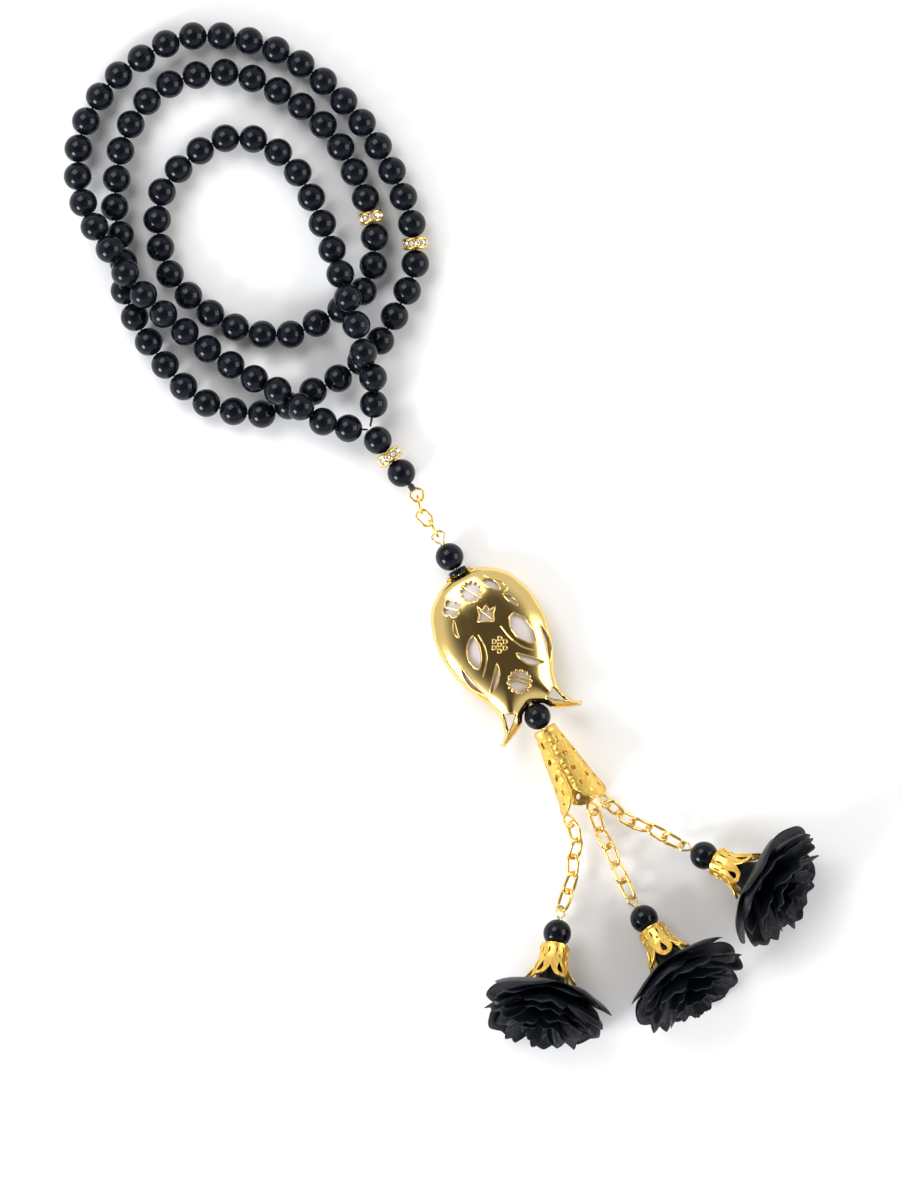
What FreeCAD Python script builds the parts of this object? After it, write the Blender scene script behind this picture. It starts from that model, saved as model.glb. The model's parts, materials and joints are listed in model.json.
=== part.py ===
"""Misbaha prayer beads: a loop of round beads on a limp thread, spacer rings, a pierced tulip pendant on a
pin, a cone with three curb chains, and three satin tassels.  Millimetres, +Z up, the whole piece laid flat on
Z = 0, with the origin under the middle of its box."""
import FreeCAD, Part
import Sketcher
import math
import os

Vector = FreeCAD.Vector
Rotation = FreeCAD.Rotation
Placement = FreeCAD.Placement
UP = Vector(0, 0, 1)

# Driving dimensions, each in its own named cell.
SIZES = {
    "bead_diameter": 7.8, "thread_diameter": 0.6, "bore_play": 0.17,
    "bead_bore": "=thread_diameter + bead_diameter * bore_play", "bead_travel": 1.2, "head_gap": 1.6,
    "head_thread_diameter": 1.1, "rondelle_diameter": 7.0, "rondelle_width": 3.2, "rim_width": 0.8,
    "web_diameter": 4.6, "stone_diameter": 1.5, "running_clearance": 0.1,
    "link_length": 7.2, "link_width": 4.6, "link_wire": 0.8, "link_play": 0.4,
    "small_link_length": 5.8, "small_link_width": 4.0, "small_play": 0.3, "knot_diameter": 1.9,
    "eye_bore": 2.8, "eye_drop": 1.8, "pin_diameter": 1.0, "pin_head_diameter": 2.6, "pin_head_height": 0.8,
    "spacer_diameter": 5.4, "spacer_length": 1.6, "low_bead_diameter": 7.4,
    "pendant_length": 41.0, "pendant_width": 31.0, "pendant_thickness": 11.0, "shell_wall": 0.8,
    "tip_reach": 6.6, "core_gap": 0.3, "cutout_scale": 1.0,
    "cone_length": 24.0, "cone_top_diameter": 6.2, "cone_foot_diameter": 14.0, "cone_wall": 0.7,
    "cap_length": 10.5, "cap_top_diameter": 8.0, "cap_foot_diameter": 13.6, "cap_wall": 0.7,
    "flower_diameter": 31.0, "flower_depth": 17.0, "flower_neck": 8.0,
}

# The thread's route round the loop, from the head bead's mouth and back to it, for beads of ROUTE_BEAD.
ROUTE_BEAD = 7.8
LAY = Vector(-0.6, 0.9, 0)     # brings the middle of the whole lie over the origin
ARC_REACH = 0.45               # share of a run's shorter leg that an arc between two runs takes
LOOP_ROUTE = [
    (-20.4, 28.5, 3.9), (-29.5, 28.6, 6.6), (-37.2, 33.3, 11.2), (-43.8, 38.6, 11.2),
    (-54.2, 43.6, 5.8), (-66.6, 52.0, 4.6), (-79.0, 62.0, 9.2), (-86.6, 70.4, 11.6),
    (-92.0, 79.0, 11.6), (-98.6, 88.4, 7.6), (-101.4, 101.0, 4.2), (-99.4, 113.4, 3.9),
    (-91.6, 125.6, 3.9), (-79.6, 133.8, 3.9), (-71.3, 137.9, 3.9), (-57.0, 137.6, 3.9),
    (-43.3, 133.1, 3.9), (-31.2, 124.3, 3.9), (-20.4, 112.2, 3.9), (-12.4, 98.6, 3.9),
    (-7.4, 84.6, 3.9), (-6.6, 72.6, 3.9), (-12.6, 60.4, 3.9), (-17.6, 51.2, 3.9),
    (-28.2, 42.4, 3.9), (-38.0, 38.0, 3.9), (-46.4, 32.4, 3.9), (-57.6, 33.2, 3.9),
    (-68.4, 36.8, 3.9), (-77.8, 47.8, 3.9), (-84.8, 58.6, 3.9), (-89.0, 70.0, 3.9),
    (-87.2, 78.4, 3.9), (-90.8, 87.0, 3.9), (-90.0, 98.0, 3.9), (-88.4, 109.6, 3.9),
    (-80.8, 121.4, 3.9), (-70.2, 126.8, 3.9), (-56.6, 128.0, 3.9), (-42.8, 121.4, 3.9),
    (-30.4, 111.6, 3.9), (-22.8, 98.0, 3.9), (-18.4, 85.6, 3.9), (-18.2, 74.2, 3.9),
    (-21.8, 65.2, 3.9), (-33.0, 58.8, 3.9), (-42.4, 53.8, 3.9), (-55.8, 55.8, 3.9),
    (-65.2, 61.2, 3.9), (-75.6, 70.8, 3.9), (-78.4, 80.8, 3.9), (-79.0, 93.0, 3.9),
    (-71.6, 102.6, 3.9), (-60.2, 110.2, 3.9), (-49.4, 109.0, 3.9), (-39.2, 100.4, 3.9),
    (-33.2, 86.6, 3.9), (-29.0, 75.2, 5.2), (-26.4, 66.6, 11.3), (-23.4, 57.8, 11.6),
    (-21.2, 48.2, 12.1), (-17.4, 40.4, 7.8), (-19.6, 29.4, 3.9),
]
RUN_COUNTS = (33, 33, 29)
GROUPS_PER_RUN = (3, 3, 3)
STONE_COUNT = 11
STONE_SEAT = 0.05             # between the stones and the ring's web
STONE_SUNK = 0.42             # share of a stone's width that sits below the rims
HEAD_MOUTH = (-19.8, 28.7)
HEAD_HEADING = -54.3          # degrees in plan, from the head bead towards the knot
HEAD_THREAD_INSET = 0.5       # the doubled thread starts inside the head bead
KNOT_OVERLAP = 0.6            # how far it runs into the knot
KNOT_EYE_DROP = 0.2           # of the thread eye, below the knot

# Headings in plan and climbs, in degrees, of the short links from the knot to the pendant's pin.
HANGER_WAY = [(-76, 0), (-46, 0), (-60, 0)]
PIN_WAY = (-61.2, 3.2)
PETAL_ANGLES = (160, 280, 40)  # round the cone, from its own side towards the top
EYE_FACING = -45              # the eyes stand square to the first links
CHAIN_WAYS = [
    [(-80, -24), (-102, -26), (-92, -20), (-108, -8), (-110, 2)],
    [(-72, 8), (-62, 4), (-68, 0), (-64, 0), (-66, 0)],
    [(-46, -34), (-28, -28), (-20, -18), (-30, -8), (-26, 0)],
]
TASSEL_WAYS = [(-98.9, 22), (-57.3, 22), (-24.5, 22)]
SIDES = ("left", "middle", "right")

doc = FreeCAD.newDocument("Misbaha")
sheet = doc.addObject("Spreadsheet::Sheet", "Sizes")
for row, (name, value) in enumerate(SIZES.items(), start=1):
    sheet.set("A%d" % row, name)
    sheet.set("B%d" % row, str(value))
    sheet.setAlias("B%d" % row, name)
doc.recompute()
nodes = []


def size(name):
    """A driving dimension, read from the sheet."""
    return float(sheet.get(name))


def direction(heading, climb=0.0):
    """Unit vector with a heading in plan and a climb above it, in degrees."""
    level = math.cos(math.radians(climb))
    turn = math.radians(heading)
    return Vector(level * math.cos(turn), level * math.sin(turn), math.sin(math.radians(climb)))


def along(origin, way, roll=0.0):
    """Placement whose Z runs along way and whose Y points as high as it can, turned by roll about way."""
    side = way.cross(UP) if abs(way.z) < 0.999 else Vector(1, 0, 0)
    side.normalize()
    top = side.cross(way)
    turned = Rotation(way, roll)
    top = turned.multVec(top)
    return Placement(origin, Rotation(top.cross(way), top, way, "ZYX"))


def keep(item, label, placement=None):
    """Name a sub-part and put it in its place."""
    item.Label = label
    if placement is not None:
        item.Placement = placement
    nodes.append(item)
    return item


def add_feature(label, shape, placement=None):
    """Sub-part whose shape is made with Part's own functions."""
    item = doc.addObject("Part::Feature", label)
    item.Shape = shape
    return keep(item, label, placement)


def primitive(kind, name, **expressions):
    """Part primitive with its sizes bound to the sheet."""
    item = doc.addObject("Part::" + kind, name)
    for prop, text in expressions.items():
        item.setExpression(prop, text)
    return item


def boolean(kind, name, base, tool):
    """Part::Cut, Part::Fuse or Part::Common of two objects."""
    item = doc.addObject("Part::" + kind, name)
    item.Base = base
    item.Tool = tool
    return item


def plane_of(body, role):
    """One of the body's own origin planes."""
    return next(item for item in body.Origin.OriginFeatures if item.Role == role)


def sketch_on(body, name, role):
    """Sketch attached to one of the body's origin planes."""
    sketch = body.newObject("Sketcher::SketchObject", name)
    sketch.AttachmentSupport = (plane_of(body, role), [""])
    sketch.MapMode = "FlatFace"
    return sketch


def polygon(sketch, corners):
    """Closed outline; every corner's two distances are bound to sheet expressions."""
    places = [(sheet_value(x), sheet_value(y)) for x, y in corners]
    count = len(places)
    for index in range(count):
        first = places[index]
        second = places[(index + 1) % count]
        sketch.addGeometry(Part.LineSegment(Vector(*first, 0), Vector(*second, 0)), False)
    for index in range(count):
        sketch.addConstraint(Sketcher.Constraint("Coincident", index, 2, (index + 1) % count, 1))
    for index, (x, y) in enumerate(corners):
        for kind, text, value in (("DistanceX", x, places[index][0]), ("DistanceY", y, places[index][1])):
            number = sketch.addConstraint(Sketcher.Constraint(kind, -1, 1, index, 1, value))
            sketch.setExpression("Constraints[%d]" % number, bound(text))


def bound(text):
    """Expression text with each size written as a cell of the sheet."""
    words = text.replace("(", " ( ").replace(")", " ) ").split()
    return " ".join("Sizes." + word if word in SIZES else word for word in words)


def sheet_value(text):
    """The number that an expression of sizes gives."""
    total = doc.addObject("App::FeaturePython", "Reckoner")
    total.addProperty("App::PropertyFloat", "Value")
    total.setExpression("Value", bound(text))
    doc.recompute([total])
    value = total.Value
    doc.removeObject(total.Name)
    return value


def turned_body(label, corners, placement=None):
    """PartDesign body revolved about its own Z axis from an outline of (radius, height)."""
    body = doc.addObject("PartDesign::Body", label)
    sketch = sketch_on(body, label + "_outline", "XZ_Plane")
    polygon(sketch, corners)
    turn = body.newObject("PartDesign::Revolution", label + "_turn")
    turn.Profile = sketch
    turn.ReferenceAxis = (sketch, ["V_Axis"])
    turn.Angle = 360.0
    body.Tip = turn
    return keep(body, label, placement)


def say_joint(name, pivot, axis):
    """Print where a joint turns or slides, and about or along which line."""
    print("joint %s %.4f %.4f %.4f %.5f %.5f %.5f" % ((name,) + tuple(pivot) + tuple(axis)))


def check_radii(radii, label, diameter):
    """Print the tightest bends of a cord's route."""
    print("%s: %d bends, tightest radius %.1f mm = %.1f diameters"
          % (label, len(radii), min(radii), min(radii) / diameter))


# --------------------------------------------------------------------------- the thread's path

def rounded_path(points):
    """Straight runs joined by tangent arcs, as edges, with the arcs' radii."""
    edges = []
    radii = []
    here = points[0]
    for before, corner, after in zip(points, points[1:], points[2:]):
        back = before - corner
        ahead = after - corner
        shorter = min(back.Length, ahead.Length)
        back.normalize()
        ahead.normalize()
        half_turn = (math.pi - back.getAngle(ahead)) / 2
        reach = ARC_REACH * shorter
        radius = reach / math.tan(half_turn)
        middle = back + ahead
        middle.normalize()
        crown = corner + middle * (radius / math.cos(half_turn) - radius)
        start = corner + back * reach
        end = corner + ahead * reach
        edges.append(Part.LineSegment(here, start).toShape())
        edges.append(Part.Arc(start, crown, end).toShape())
        radii.append(radius)
        here = end
    edges.append(Part.LineSegment(here, points[-1]).toShape())
    return edges, radii


def tube(edges, diameter):
    """Round tube along a path of edges."""
    wire = Part.Wire(edges)
    first = edges[0]
    way = first.tangentAt(first.FirstParameter)
    ring = Part.Wire([Part.makeCircle(diameter / 2, first.valueAt(first.FirstParameter), way)])
    return wire.makePipeShell([ring], True, False)


class Way:
    """Points and tangents by distance along a path of edges."""

    def __init__(self, edges):
        self.edges = edges
        self.lengths = [edge.Length for edge in edges]
        self.total = sum(self.lengths)

    def at(self, distance):
        for edge, length in zip(self.edges, self.lengths):
            if distance <= length:
                break
            distance -= length
        parameter = edge.getParameterByLength(min(distance, edge.Length))
        return edge.valueAt(parameter), edge.tangentAt(parameter)


# --------------------------------------------------------------------------- small shapes

def bored_bead(diameter, bore):
    """Round bead about the origin, bored along Z."""
    hole = Part.makeCylinder(bore / 2, 2 * diameter, Vector(0, 0, -diameter), UP)
    return Part.makeSphere(diameter / 2).cut(hole)


def stadium_ring(length, width, wire):
    """Link in the XZ plane: two straight sides along Z and two half-round ends."""
    bend = (width - wire) / 2
    straight = length / 2 - width / 2
    path = []
    path.append(Part.LineSegment(Vector(bend, 0, -straight), Vector(bend, 0, straight)).toShape())
    path.append(Part.Arc(Vector(bend, 0, straight), Vector(0, 0, straight + bend),
                         Vector(-bend, 0, straight)).toShape())
    path.append(Part.LineSegment(Vector(-bend, 0, straight), Vector(-bend, 0, -straight)).toShape())
    path.append(Part.Arc(Vector(-bend, 0, -straight), Vector(0, 0, -straight - bend),
                         Vector(bend, 0, -straight)).toShape())
    return tube(path, wire)


def eye_ring(bore, wire):
    """Round eye in the XZ plane about the origin."""
    return Part.makeTorus((bore + wire) / 2, wire / 2, Vector(0, 0, 0), Vector(0, 1, 0))


def eye_pin(shaft_start, shaft_end, head_height):
    """Eye at the origin, with a shaft along Z that ends in a flat head."""
    wire = size("link_wire")
    shaft = Part.makeCylinder(size("pin_diameter") / 2, shaft_end - shaft_start,
                              Vector(0, 0, shaft_start), UP)
    head = Part.makeCylinder(size("pin_head_diameter") / 2, head_height, Vector(0, 0, shaft_end), UP)
    return eye_ring(size("eye_bore"), wire).fuse([shaft, head]).removeSplitter()


# --------------------------------------------------------------------------- the loop of beads

def build_loop():
    """Thread, bead runs, spacer rings and the counting bead."""
    bead = size("bead_diameter")
    ring_width = size("rondelle_width")
    grown = bead / ROUTE_BEAD
    points = [Vector(*point) * grown + LAY for point in LOOP_ROUTE]
    edges, radii = rounded_path(points)
    thread = size("thread_diameter")
    check_radii(radii, "strand_thread", thread)
    shape = tube(edges, thread)
    way = Way(edges)
    section = math.pi * thread * thread / 4
    print("strand_thread: length %.1f mm, volume %.2f against %.2f" % (way.total, shape.Volume,
                                                                    section * way.total))
    add_feature("strand_thread", shape)
    held = sum(RUN_COUNTS) * bead + 2 * ring_width + size("head_gap") * 2 + size("bead_travel")
    gap = (way.total - held) / (sum(RUN_COUNTS) + 1)
    print("gap between neighbours %.3f mm" % gap)
    one = bored_bead(bead, size("bead_bore"))
    here = size("head_gap")
    for run, count in enumerate(RUN_COUNTS):
        if run == 2:
            count -= 1
        per_group = -(-count // GROUPS_PER_RUN[run])
        placed = []
        for index in range(count):
            centre, tangent = way.at(here + bead / 2)
            copy = one.copy()
            copy.Placement = along(centre, tangent)
            placed.append(copy)
            here += bead + gap
        for group in range(GROUPS_PER_RUN[run]):
            chosen = placed[group * per_group:(group + 1) * per_group]
            add_feature("run_%d_beads_%s" % (run + 1, "abc"[group]), Part.makeCompound(chosen))
        if run < 2:
            centre, tangent = way.at(here + ring_width / 2)
            build_rondelle(run + 1, along(centre, tangent))
            say_joint("rondelle_%d" % (run + 1), centre, tangent)
            here += ring_width + gap
    clear = size("running_clearance")
    centre, tangent = way.at(way.total - size("head_gap") - size("bead_travel") - bead / 2 + clear)
    build_bead("counting_bead", "bead_diameter", along(centre, tangent))
    say_joint("counting_bead", centre, tangent)


def build_bead(label, diameter, placement):
    """Round bored bead as a ball with a hole cut through it."""
    ball = primitive("Sphere", label + "_ball", Radius=bound("%s / 2" % diameter))
    hole = primitive("Cylinder", label + "_hole", Radius=bound("bead_bore / 2"),
                     Height=bound("%s * 2" % diameter))
    hole.setExpression("Placement.Base.z", bound("0 - %s" % diameter))
    return keep(boolean("Cut", label, ball, hole), label, placement)


def build_rondelle(number, placement):
    """Metal spacer ring with two rims and a web, and its row of stones between the rims."""
    label = "rondelle_%d" % number
    bore = "( bead_bore / 2 )"
    rim = "( rondelle_diameter / 2 )"
    web = "( web_diameter / 2 )"
    foot = "( rondelle_width )"
    half = "( rondelle_width / 2 )"
    corners = [(bore, foot), (rim, foot), (rim, foot + " + rim_width"), (web, foot + " + rim_width"),
               (web, foot + " + rondelle_width - rim_width"), (rim, foot + " + rondelle_width - rim_width"),
               (rim, foot + " + rondelle_width"), (bore, foot + " + rondelle_width")]
    middle = size("rondelle_width") * 1.5
    shifted = placement.multiply(Placement(Vector(0, 0, -middle), Rotation()))
    turned_body(label + "_ring", corners, shifted)
    reach = size("rondelle_diameter") / 2 - size("stone_diameter") * STONE_SUNK
    inside = Part.makeCylinder(size("web_diameter") / 2 + STONE_SEAT, size("stone_diameter") * 2,
                               Vector(0, 0, -size("stone_diameter")), UP)
    first = Part.makeSphere(size("stone_diameter") / 2, Vector(reach, 0, 0)).cut(inside)
    stones = []
    for index in range(STONE_COUNT):
        stone = first.copy()
        stone.rotate(Vector(), UP, 360.0 * index / STONE_COUNT)
        stones.append(stone)
    add_feature(label + "_stones", Part.makeCompound(stones), placement)


# --------------------------------------------------------------------------- head, knot and hanger

def build_head():
    """Head bead, third spacer ring, tail bead and the knot with its thread eye; returns the eye's centre."""
    bead = size("bead_diameter")
    ring_width = size("rondelle_width")
    gap = size("running_clearance")
    grown = bead / ROUTE_BEAD
    way = direction(HEAD_HEADING)
    mouth = Vector(HEAD_MOUTH[0], HEAD_MOUTH[1], ROUTE_BEAD / 2) * grown + LAY
    build_bead("head_bead", "bead_diameter", along(mouth + way * (bead / 2), way))
    build_rondelle(3, along(mouth + way * (bead + gap + ring_width / 2), way))
    say_joint("rondelle_3", mouth + way * (bead + gap + ring_width / 2), way)
    say_joint("head_bead", mouth + way * (bead / 2), way)
    tail = bead * 1.5 + ring_width + 2 * gap
    say_joint("tail_bead", mouth + way * tail, way)
    build_bead("tail_bead", "bead_diameter", along(mouth + way * tail, way))
    knot = tail + bead / 2 + gap
    start = HEAD_THREAD_INSET
    thick = size("head_thread_diameter")
    core = Part.makeCylinder(thick / 2, knot + KNOT_OVERLAP - start, Vector(0, 0, start), UP)
    add_feature("head_thread", core, along(mouth, way))
    knot_radius = size("knot_diameter") / 2
    ball = Part.makeSphere(knot_radius, Vector(0, 0, knot_radius))
    trimmed = ball.cut(Part.makeCylinder(thick / 2, KNOT_OVERLAP, Vector(0, 0, 0), UP))
    reach = 2 * knot_radius + size("eye_bore") / 2 + KNOT_EYE_DROP
    eye = eye_ring(size("eye_bore"), size("link_wire"))
    eye.translate(Vector(0, 0, reach))
    add_feature("thread_knot", trimmed.fuse(eye), along(mouth + way * knot, way))
    return mouth + way * (knot + reach), UP


def hang_links(labels, ways, start, facing, length, width, play, roll):
    """Row of links hung from an eye at start, square to facing; returns the next eye and the last roll."""
    wire = size("link_wire")
    reach = (width - wire) / 2 + play / 2 + wire / 4
    lead = direction(*ways[0])
    lead = lead - facing * lead.dot(facing)
    lead.normalize()
    spot = start + lead * reach
    span = length - 2 * wire - play
    for label, way in zip(labels, ways):
        line = direction(*way)
        centre = spot + line * (length / 2 - width / 2)
        add_feature(label, stadium_ring(length, width, wire), along(centre, line, roll))
        say_joint(label, spot, normal_of(line, roll))
        last = spot + line * (length - width)
        spot = spot + line * span
        roll += 90
    return last + line * reach, roll


def normal_of(line, roll):
    """Normal of a link's plane."""
    return along(Vector(), line, roll).Rotation.multVec(Vector(0, 1, 0))


# --------------------------------------------------------------------------- the pendant

def section(height, half_width, half_depth, across=0.0):
    """Ellipse across the pendant's axis."""
    if half_width >= half_depth:
        round_wire = Part.Ellipse(Vector(across, 0, height), half_width, half_depth)
        return Part.Wire([round_wire.toShape()])
    round_wire = Part.Ellipse(Vector(across, 0, height), half_depth, half_width)
    edge = round_wire.toShape()
    edge.rotate(Vector(across, 0, height), UP, 90)
    return Part.Wire([edge])


# Rings of the body: share of the length, of the half width and of the half depth.
TULIP = [(0.00, 0.10, 0.22), (0.05, 0.42, 0.52), (0.16, 0.76, 0.82), (0.38, 1.00, 1.00),
         (0.62, 0.86, 0.94), (0.84, 0.66, 0.76), (1.00, 0.60, 0.62)]


# Rings of a tip: share of its reach, then shares of the half width and half depth, and how far out it stands.
TIP_ROOT = 2.0
TIP = [(0.25, 0.18, 0.42, 0.44), (0.65, 0.11, 0.26, 0.62), (1.00, 0.03, 0.08, 0.80)]
LEAST_HALF_WIDTH = 0.6
LEAST_HALF_DEPTH = 0.5
OVERRUN = 5.0                 # of a cutting tool beyond what it cuts


def tulip_body(inset):
    """Puffed body of the tulip, drawn in by inset all round."""
    length = size("pendant_length") - 2 * inset
    wide = size("pendant_width") / 2 - inset
    deep = size("pendant_thickness") / 2 - inset
    rings = []
    for share, width_share, depth_share in TULIP:
        half_width = max(wide * width_share, LEAST_HALF_WIDTH)
        half_depth = max(deep * depth_share, LEAST_HALF_DEPTH)
        rings.append(section(inset + share * length, half_width, half_depth))
    return Part.makeLoft(rings, True, False)


def tulip_tip(side):
    """Outward-curling pointed tip at one side of the tulip's mouth."""
    wide = size("pendant_width") / 2
    deep = size("pendant_thickness") / 2
    foot = size("pendant_length")
    reach = size("tip_reach")
    rings = [section(foot - TIP_ROOT, wide * 0.24, deep * 0.55, side * wide * 0.32)]
    for share, width_share, depth_share, out in TIP:
        rings.append(section(foot + reach * share, wide * width_share, deep * depth_share, side * wide * out))
    return Part.makeLoft(rings, True, False)


# Cut-outs of the pierced shells: place down and across the tulip, and the hole's two radii.
UNROUND = 0.01                # an ellipse needs two different radii
CUTOUTS = [(0.17, -0.34, 2.3, 2.3), (0.36, -0.62, 2.2, 2.2), (0.24, 0.30, 3.0, 1.6), (0.42, 0.02, 1.6, 1.6),
           (0.54, 0.0, 2.4, 2.4), (0.66, -0.42, 2.8, 1.5), (0.46, 0.52, 2.8, 1.5), (0.78, 0.22, 2.4, 2.4)]


def cutout_tools(depth):
    """Oval posts that pierce one shell."""
    tools = []
    for down, across, tall, broad in CUTOUTS:
        height = size("pendant_length") * down
        side = size("pendant_width") / 2 * across
        radii = sorted((tall, broad), reverse=True)
        scale = size("cutout_scale")
        ring = Part.Ellipse(Vector(), radii[0] * scale, radii[1] * scale - UNROUND)
        face = Part.Face(Part.Wire([ring.toShape()]))
        post = face.extrude(Vector(0, 0, depth))
        post.rotate(Vector(), Vector(1, 0, 0), -90)
        post.rotate(Vector(), Vector(0, 1, 0), 90 if tall >= broad else 0)
        post.translate(Vector(side, 0, height))
        tools.append(post)
    return tools


def build_pendant(place):
    """Two pierced half shells and the smooth liner between them."""
    wall = size("shell_wall")
    wide = size("pendant_width")
    long = size("pendant_length") + size("tip_reach") + 2 * OVERRUN
    deep = size("pendant_thickness")
    parting = size("running_clearance") / 2
    outer = tulip_body(0.0).fuse([tulip_tip(-1), tulip_tip(1)])
    inner = tulip_body(wall)
    shaft_hole = Part.makeCylinder(size("pin_diameter") / 2 + size("running_clearance"), long,
                                   Vector(0, 0, -OVERRUN), UP)
    hollow = outer.cut([inner, shaft_hole])
    for label, side in (("pendant_front_shell", 1), ("pendant_back_shell", -1)):
        low = parting if side > 0 else -parting - deep
        half = Part.makeBox(2 * wide, deep, long, Vector(-wide, low, -OVERRUN))
        tools = cutout_tools(deep)
        if side < 0:
            for tool in tools:
                tool.rotate(Vector(), UP, 180)
        shell = hollow.common(half).cut(tools)
        solids = sorted(shell.Solids, key=lambda solid: -solid.Volume)
        add_feature(label, solids[0], place)
    core_bore = Part.makeCylinder(size("pin_diameter") / 2 + size("running_clearance"), long,
                                  Vector(0, 0, -OVERRUN), UP)
    core = tulip_body(wall + size("core_gap")).cut(core_bore)
    add_feature("pendant_core", core, place)


# --------------------------------------------------------------------------- cone and tassel caps

LID_SHARE = 1.2               # thickness of a shell's lid, in walls
WAIST_AT = 0.45               # share of the length where a shell turns outwards
SLOT_WIDTH = 0.06             # half width of a slot, as a share of the foot
SLOT_FROM, SLOT_TO = 0.58, 0.80


def petalled_shell(label, length, top, foot, wall, placement, petals):
    """Flared shell with a closed top and rows of slots, cut as PartDesign pockets in a polar pattern."""
    bore = "( pin_diameter / 2 + running_clearance )"
    base = "( %s )" % length
    lid = "( %s * %s )" % (wall, LID_SHARE)
    waist = "( %s * 0.30 + %s * 0.20" % (top, foot)
    waist_height = base + " + %s * %s" % (length, WAIST_AT)
    corners = [(bore, base),
               ("( %s / 2 )" % top, base),
               (waist + " )", waist_height),
               ("( %s / 2 )" % foot, base + " + %s" % length),
               ("( %s / 2 - %s )" % (foot, wall), base + " + %s" % length),
               (waist + " - %s )" % wall, waist_height),
               ("( %s / 2 - %s )" % (top, wall), base + " + " + lid),
               (bore, base + " + " + lid)]
    shifted = placement.multiply(Placement(Vector(0, 0, -size(length)), Rotation()))
    body = turned_body(label, corners, shifted)
    doc.recompute()
    before = body.Shape.Volume
    sketch = sketch_on(body, label + "_slots", "XZ_Plane")
    broad = "( %s * %s )" % (foot, SLOT_WIDTH)
    near = base + " + %s * %s" % (length, SLOT_FROM)
    far = base + " + %s * %s" % (length, SLOT_TO)
    polygon(sketch, [("0 - " + broad, near), (broad, near), (broad, far), ("0 - " + broad, far)])
    slot = body.newObject("PartDesign::Pocket", label + "_slot")
    slot.Profile = sketch
    slot.Type = 1
    slot.Reversed = True
    body.Tip = slot
    doc.recompute()
    if abs(body.Shape.Volume - before) < 0.01:
        slot.Reversed = False
        doc.recompute()
    ring = body.newObject("PartDesign::PolarPattern", label + "_ring")
    ring.Originals = [slot]
    ring.Axis = (sketch, ["V_Axis"])
    ring.Angle = 360.0
    ring.Occurrences = petals
    body.Tip = ring
    doc.recompute()
    print("%s: shell %.1f mm3, pierced %.1f mm3" % (label, before, body.Shape.Volume))
    return body


def build_cone(place, way):
    """Cone with three eyes at its petals' tips; returns the eyes' centres and the directions out of them."""
    petalled_shell("cone_shell", "cone_length", "cone_top_diameter", "cone_foot_diameter", "cone_wall",
                   place, 6)
    cone = nodes.pop()
    reach = size("cone_foot_diameter") / 2 - size("cone_wall") / 2
    drop = size("cone_length") + size("eye_drop")
    base = cone
    eyes = []
    for index, angle in enumerate(PETAL_ANGLES):
        turn = math.radians(angle)
        local = Vector(reach * math.cos(turn), reach * math.sin(turn), drop)
        ring = doc.addObject("Part::Feature", "cone_eye_%d" % index)
        ring.Shape = eye_ring(size("eye_bore"), size("link_wire"))
        facing = Rotation(UP, EYE_FACING)
        ring.Placement = place.multiply(Placement(local, facing))
        base = boolean("Fuse", "cone_with_eye_%d" % index, base, ring)
        normal = place.Rotation.multVec(facing.multVec(Vector(0, 1, 0)))
        eyes.append((place.multVec(local), normal))
    keep(base, "cone")
    return eyes


def build_tassel(side, eye, way, roll):
    """Eye pin, bead, flared cap and flower on one axis."""
    line = direction(*way)
    clear = size("running_clearance")
    bead = size("bead_diameter")
    place = along(eye, line, roll)
    plain = along(eye, line)
    bead_at = size("eye_bore") / 2 + size("link_wire") + bead / 2 + clear
    cap_at = bead_at + bead / 2 + clear
    shaft_end = cap_at + size("cap_wall") * LID_SHARE + clear
    pin = eye_pin(size("eye_bore") / 2 + size("link_wire") / 2, shaft_end, size("pin_head_height"))
    add_feature("%s_tassel_pin" % side, pin, place)
    build_bead("%s_tassel_bead" % side, "bead_diameter", along(eye + line * bead_at, line))
    cap_place = plain.multiply(Placement(Vector(0, 0, cap_at), Rotation()))
    petalled_shell("%s_tassel_cap" % side, "cap_length", "cap_top_diameter", "cap_foot_diameter", "cap_wall",
                   cap_place, 6)
    flower_place = plain.multiply(Placement(Vector(0, 0, cap_at), Rotation()))
    start = "( cap_length * %s )" % WAIST_AT
    mouth = "( cap_length + flower_depth )"
    neck = "( flower_neck / 2 )"
    rim = "( flower_diameter / 2 )"
    hub = "( pin_diameter / 2 )"
    corners = [(hub, start), (neck + " * 0.9", start), (neck, "( cap_length )"),
               (rim + " * 0.62", "( cap_length + flower_depth * 0.18 )"),
               (rim, "( cap_length + flower_depth * 0.62 )"), (rim + " * 0.9", mouth), (hub, mouth)]
    turned_body("%s_tassel_flower" % side, corners, flower_place)
    say_joint("%s_tassel_pin" % side, eye, normal_of(line, roll))
    say_joint("%s_tassel_axis" % side, eye, line)


# --------------------------------------------------------------------------- the whole piece

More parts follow.
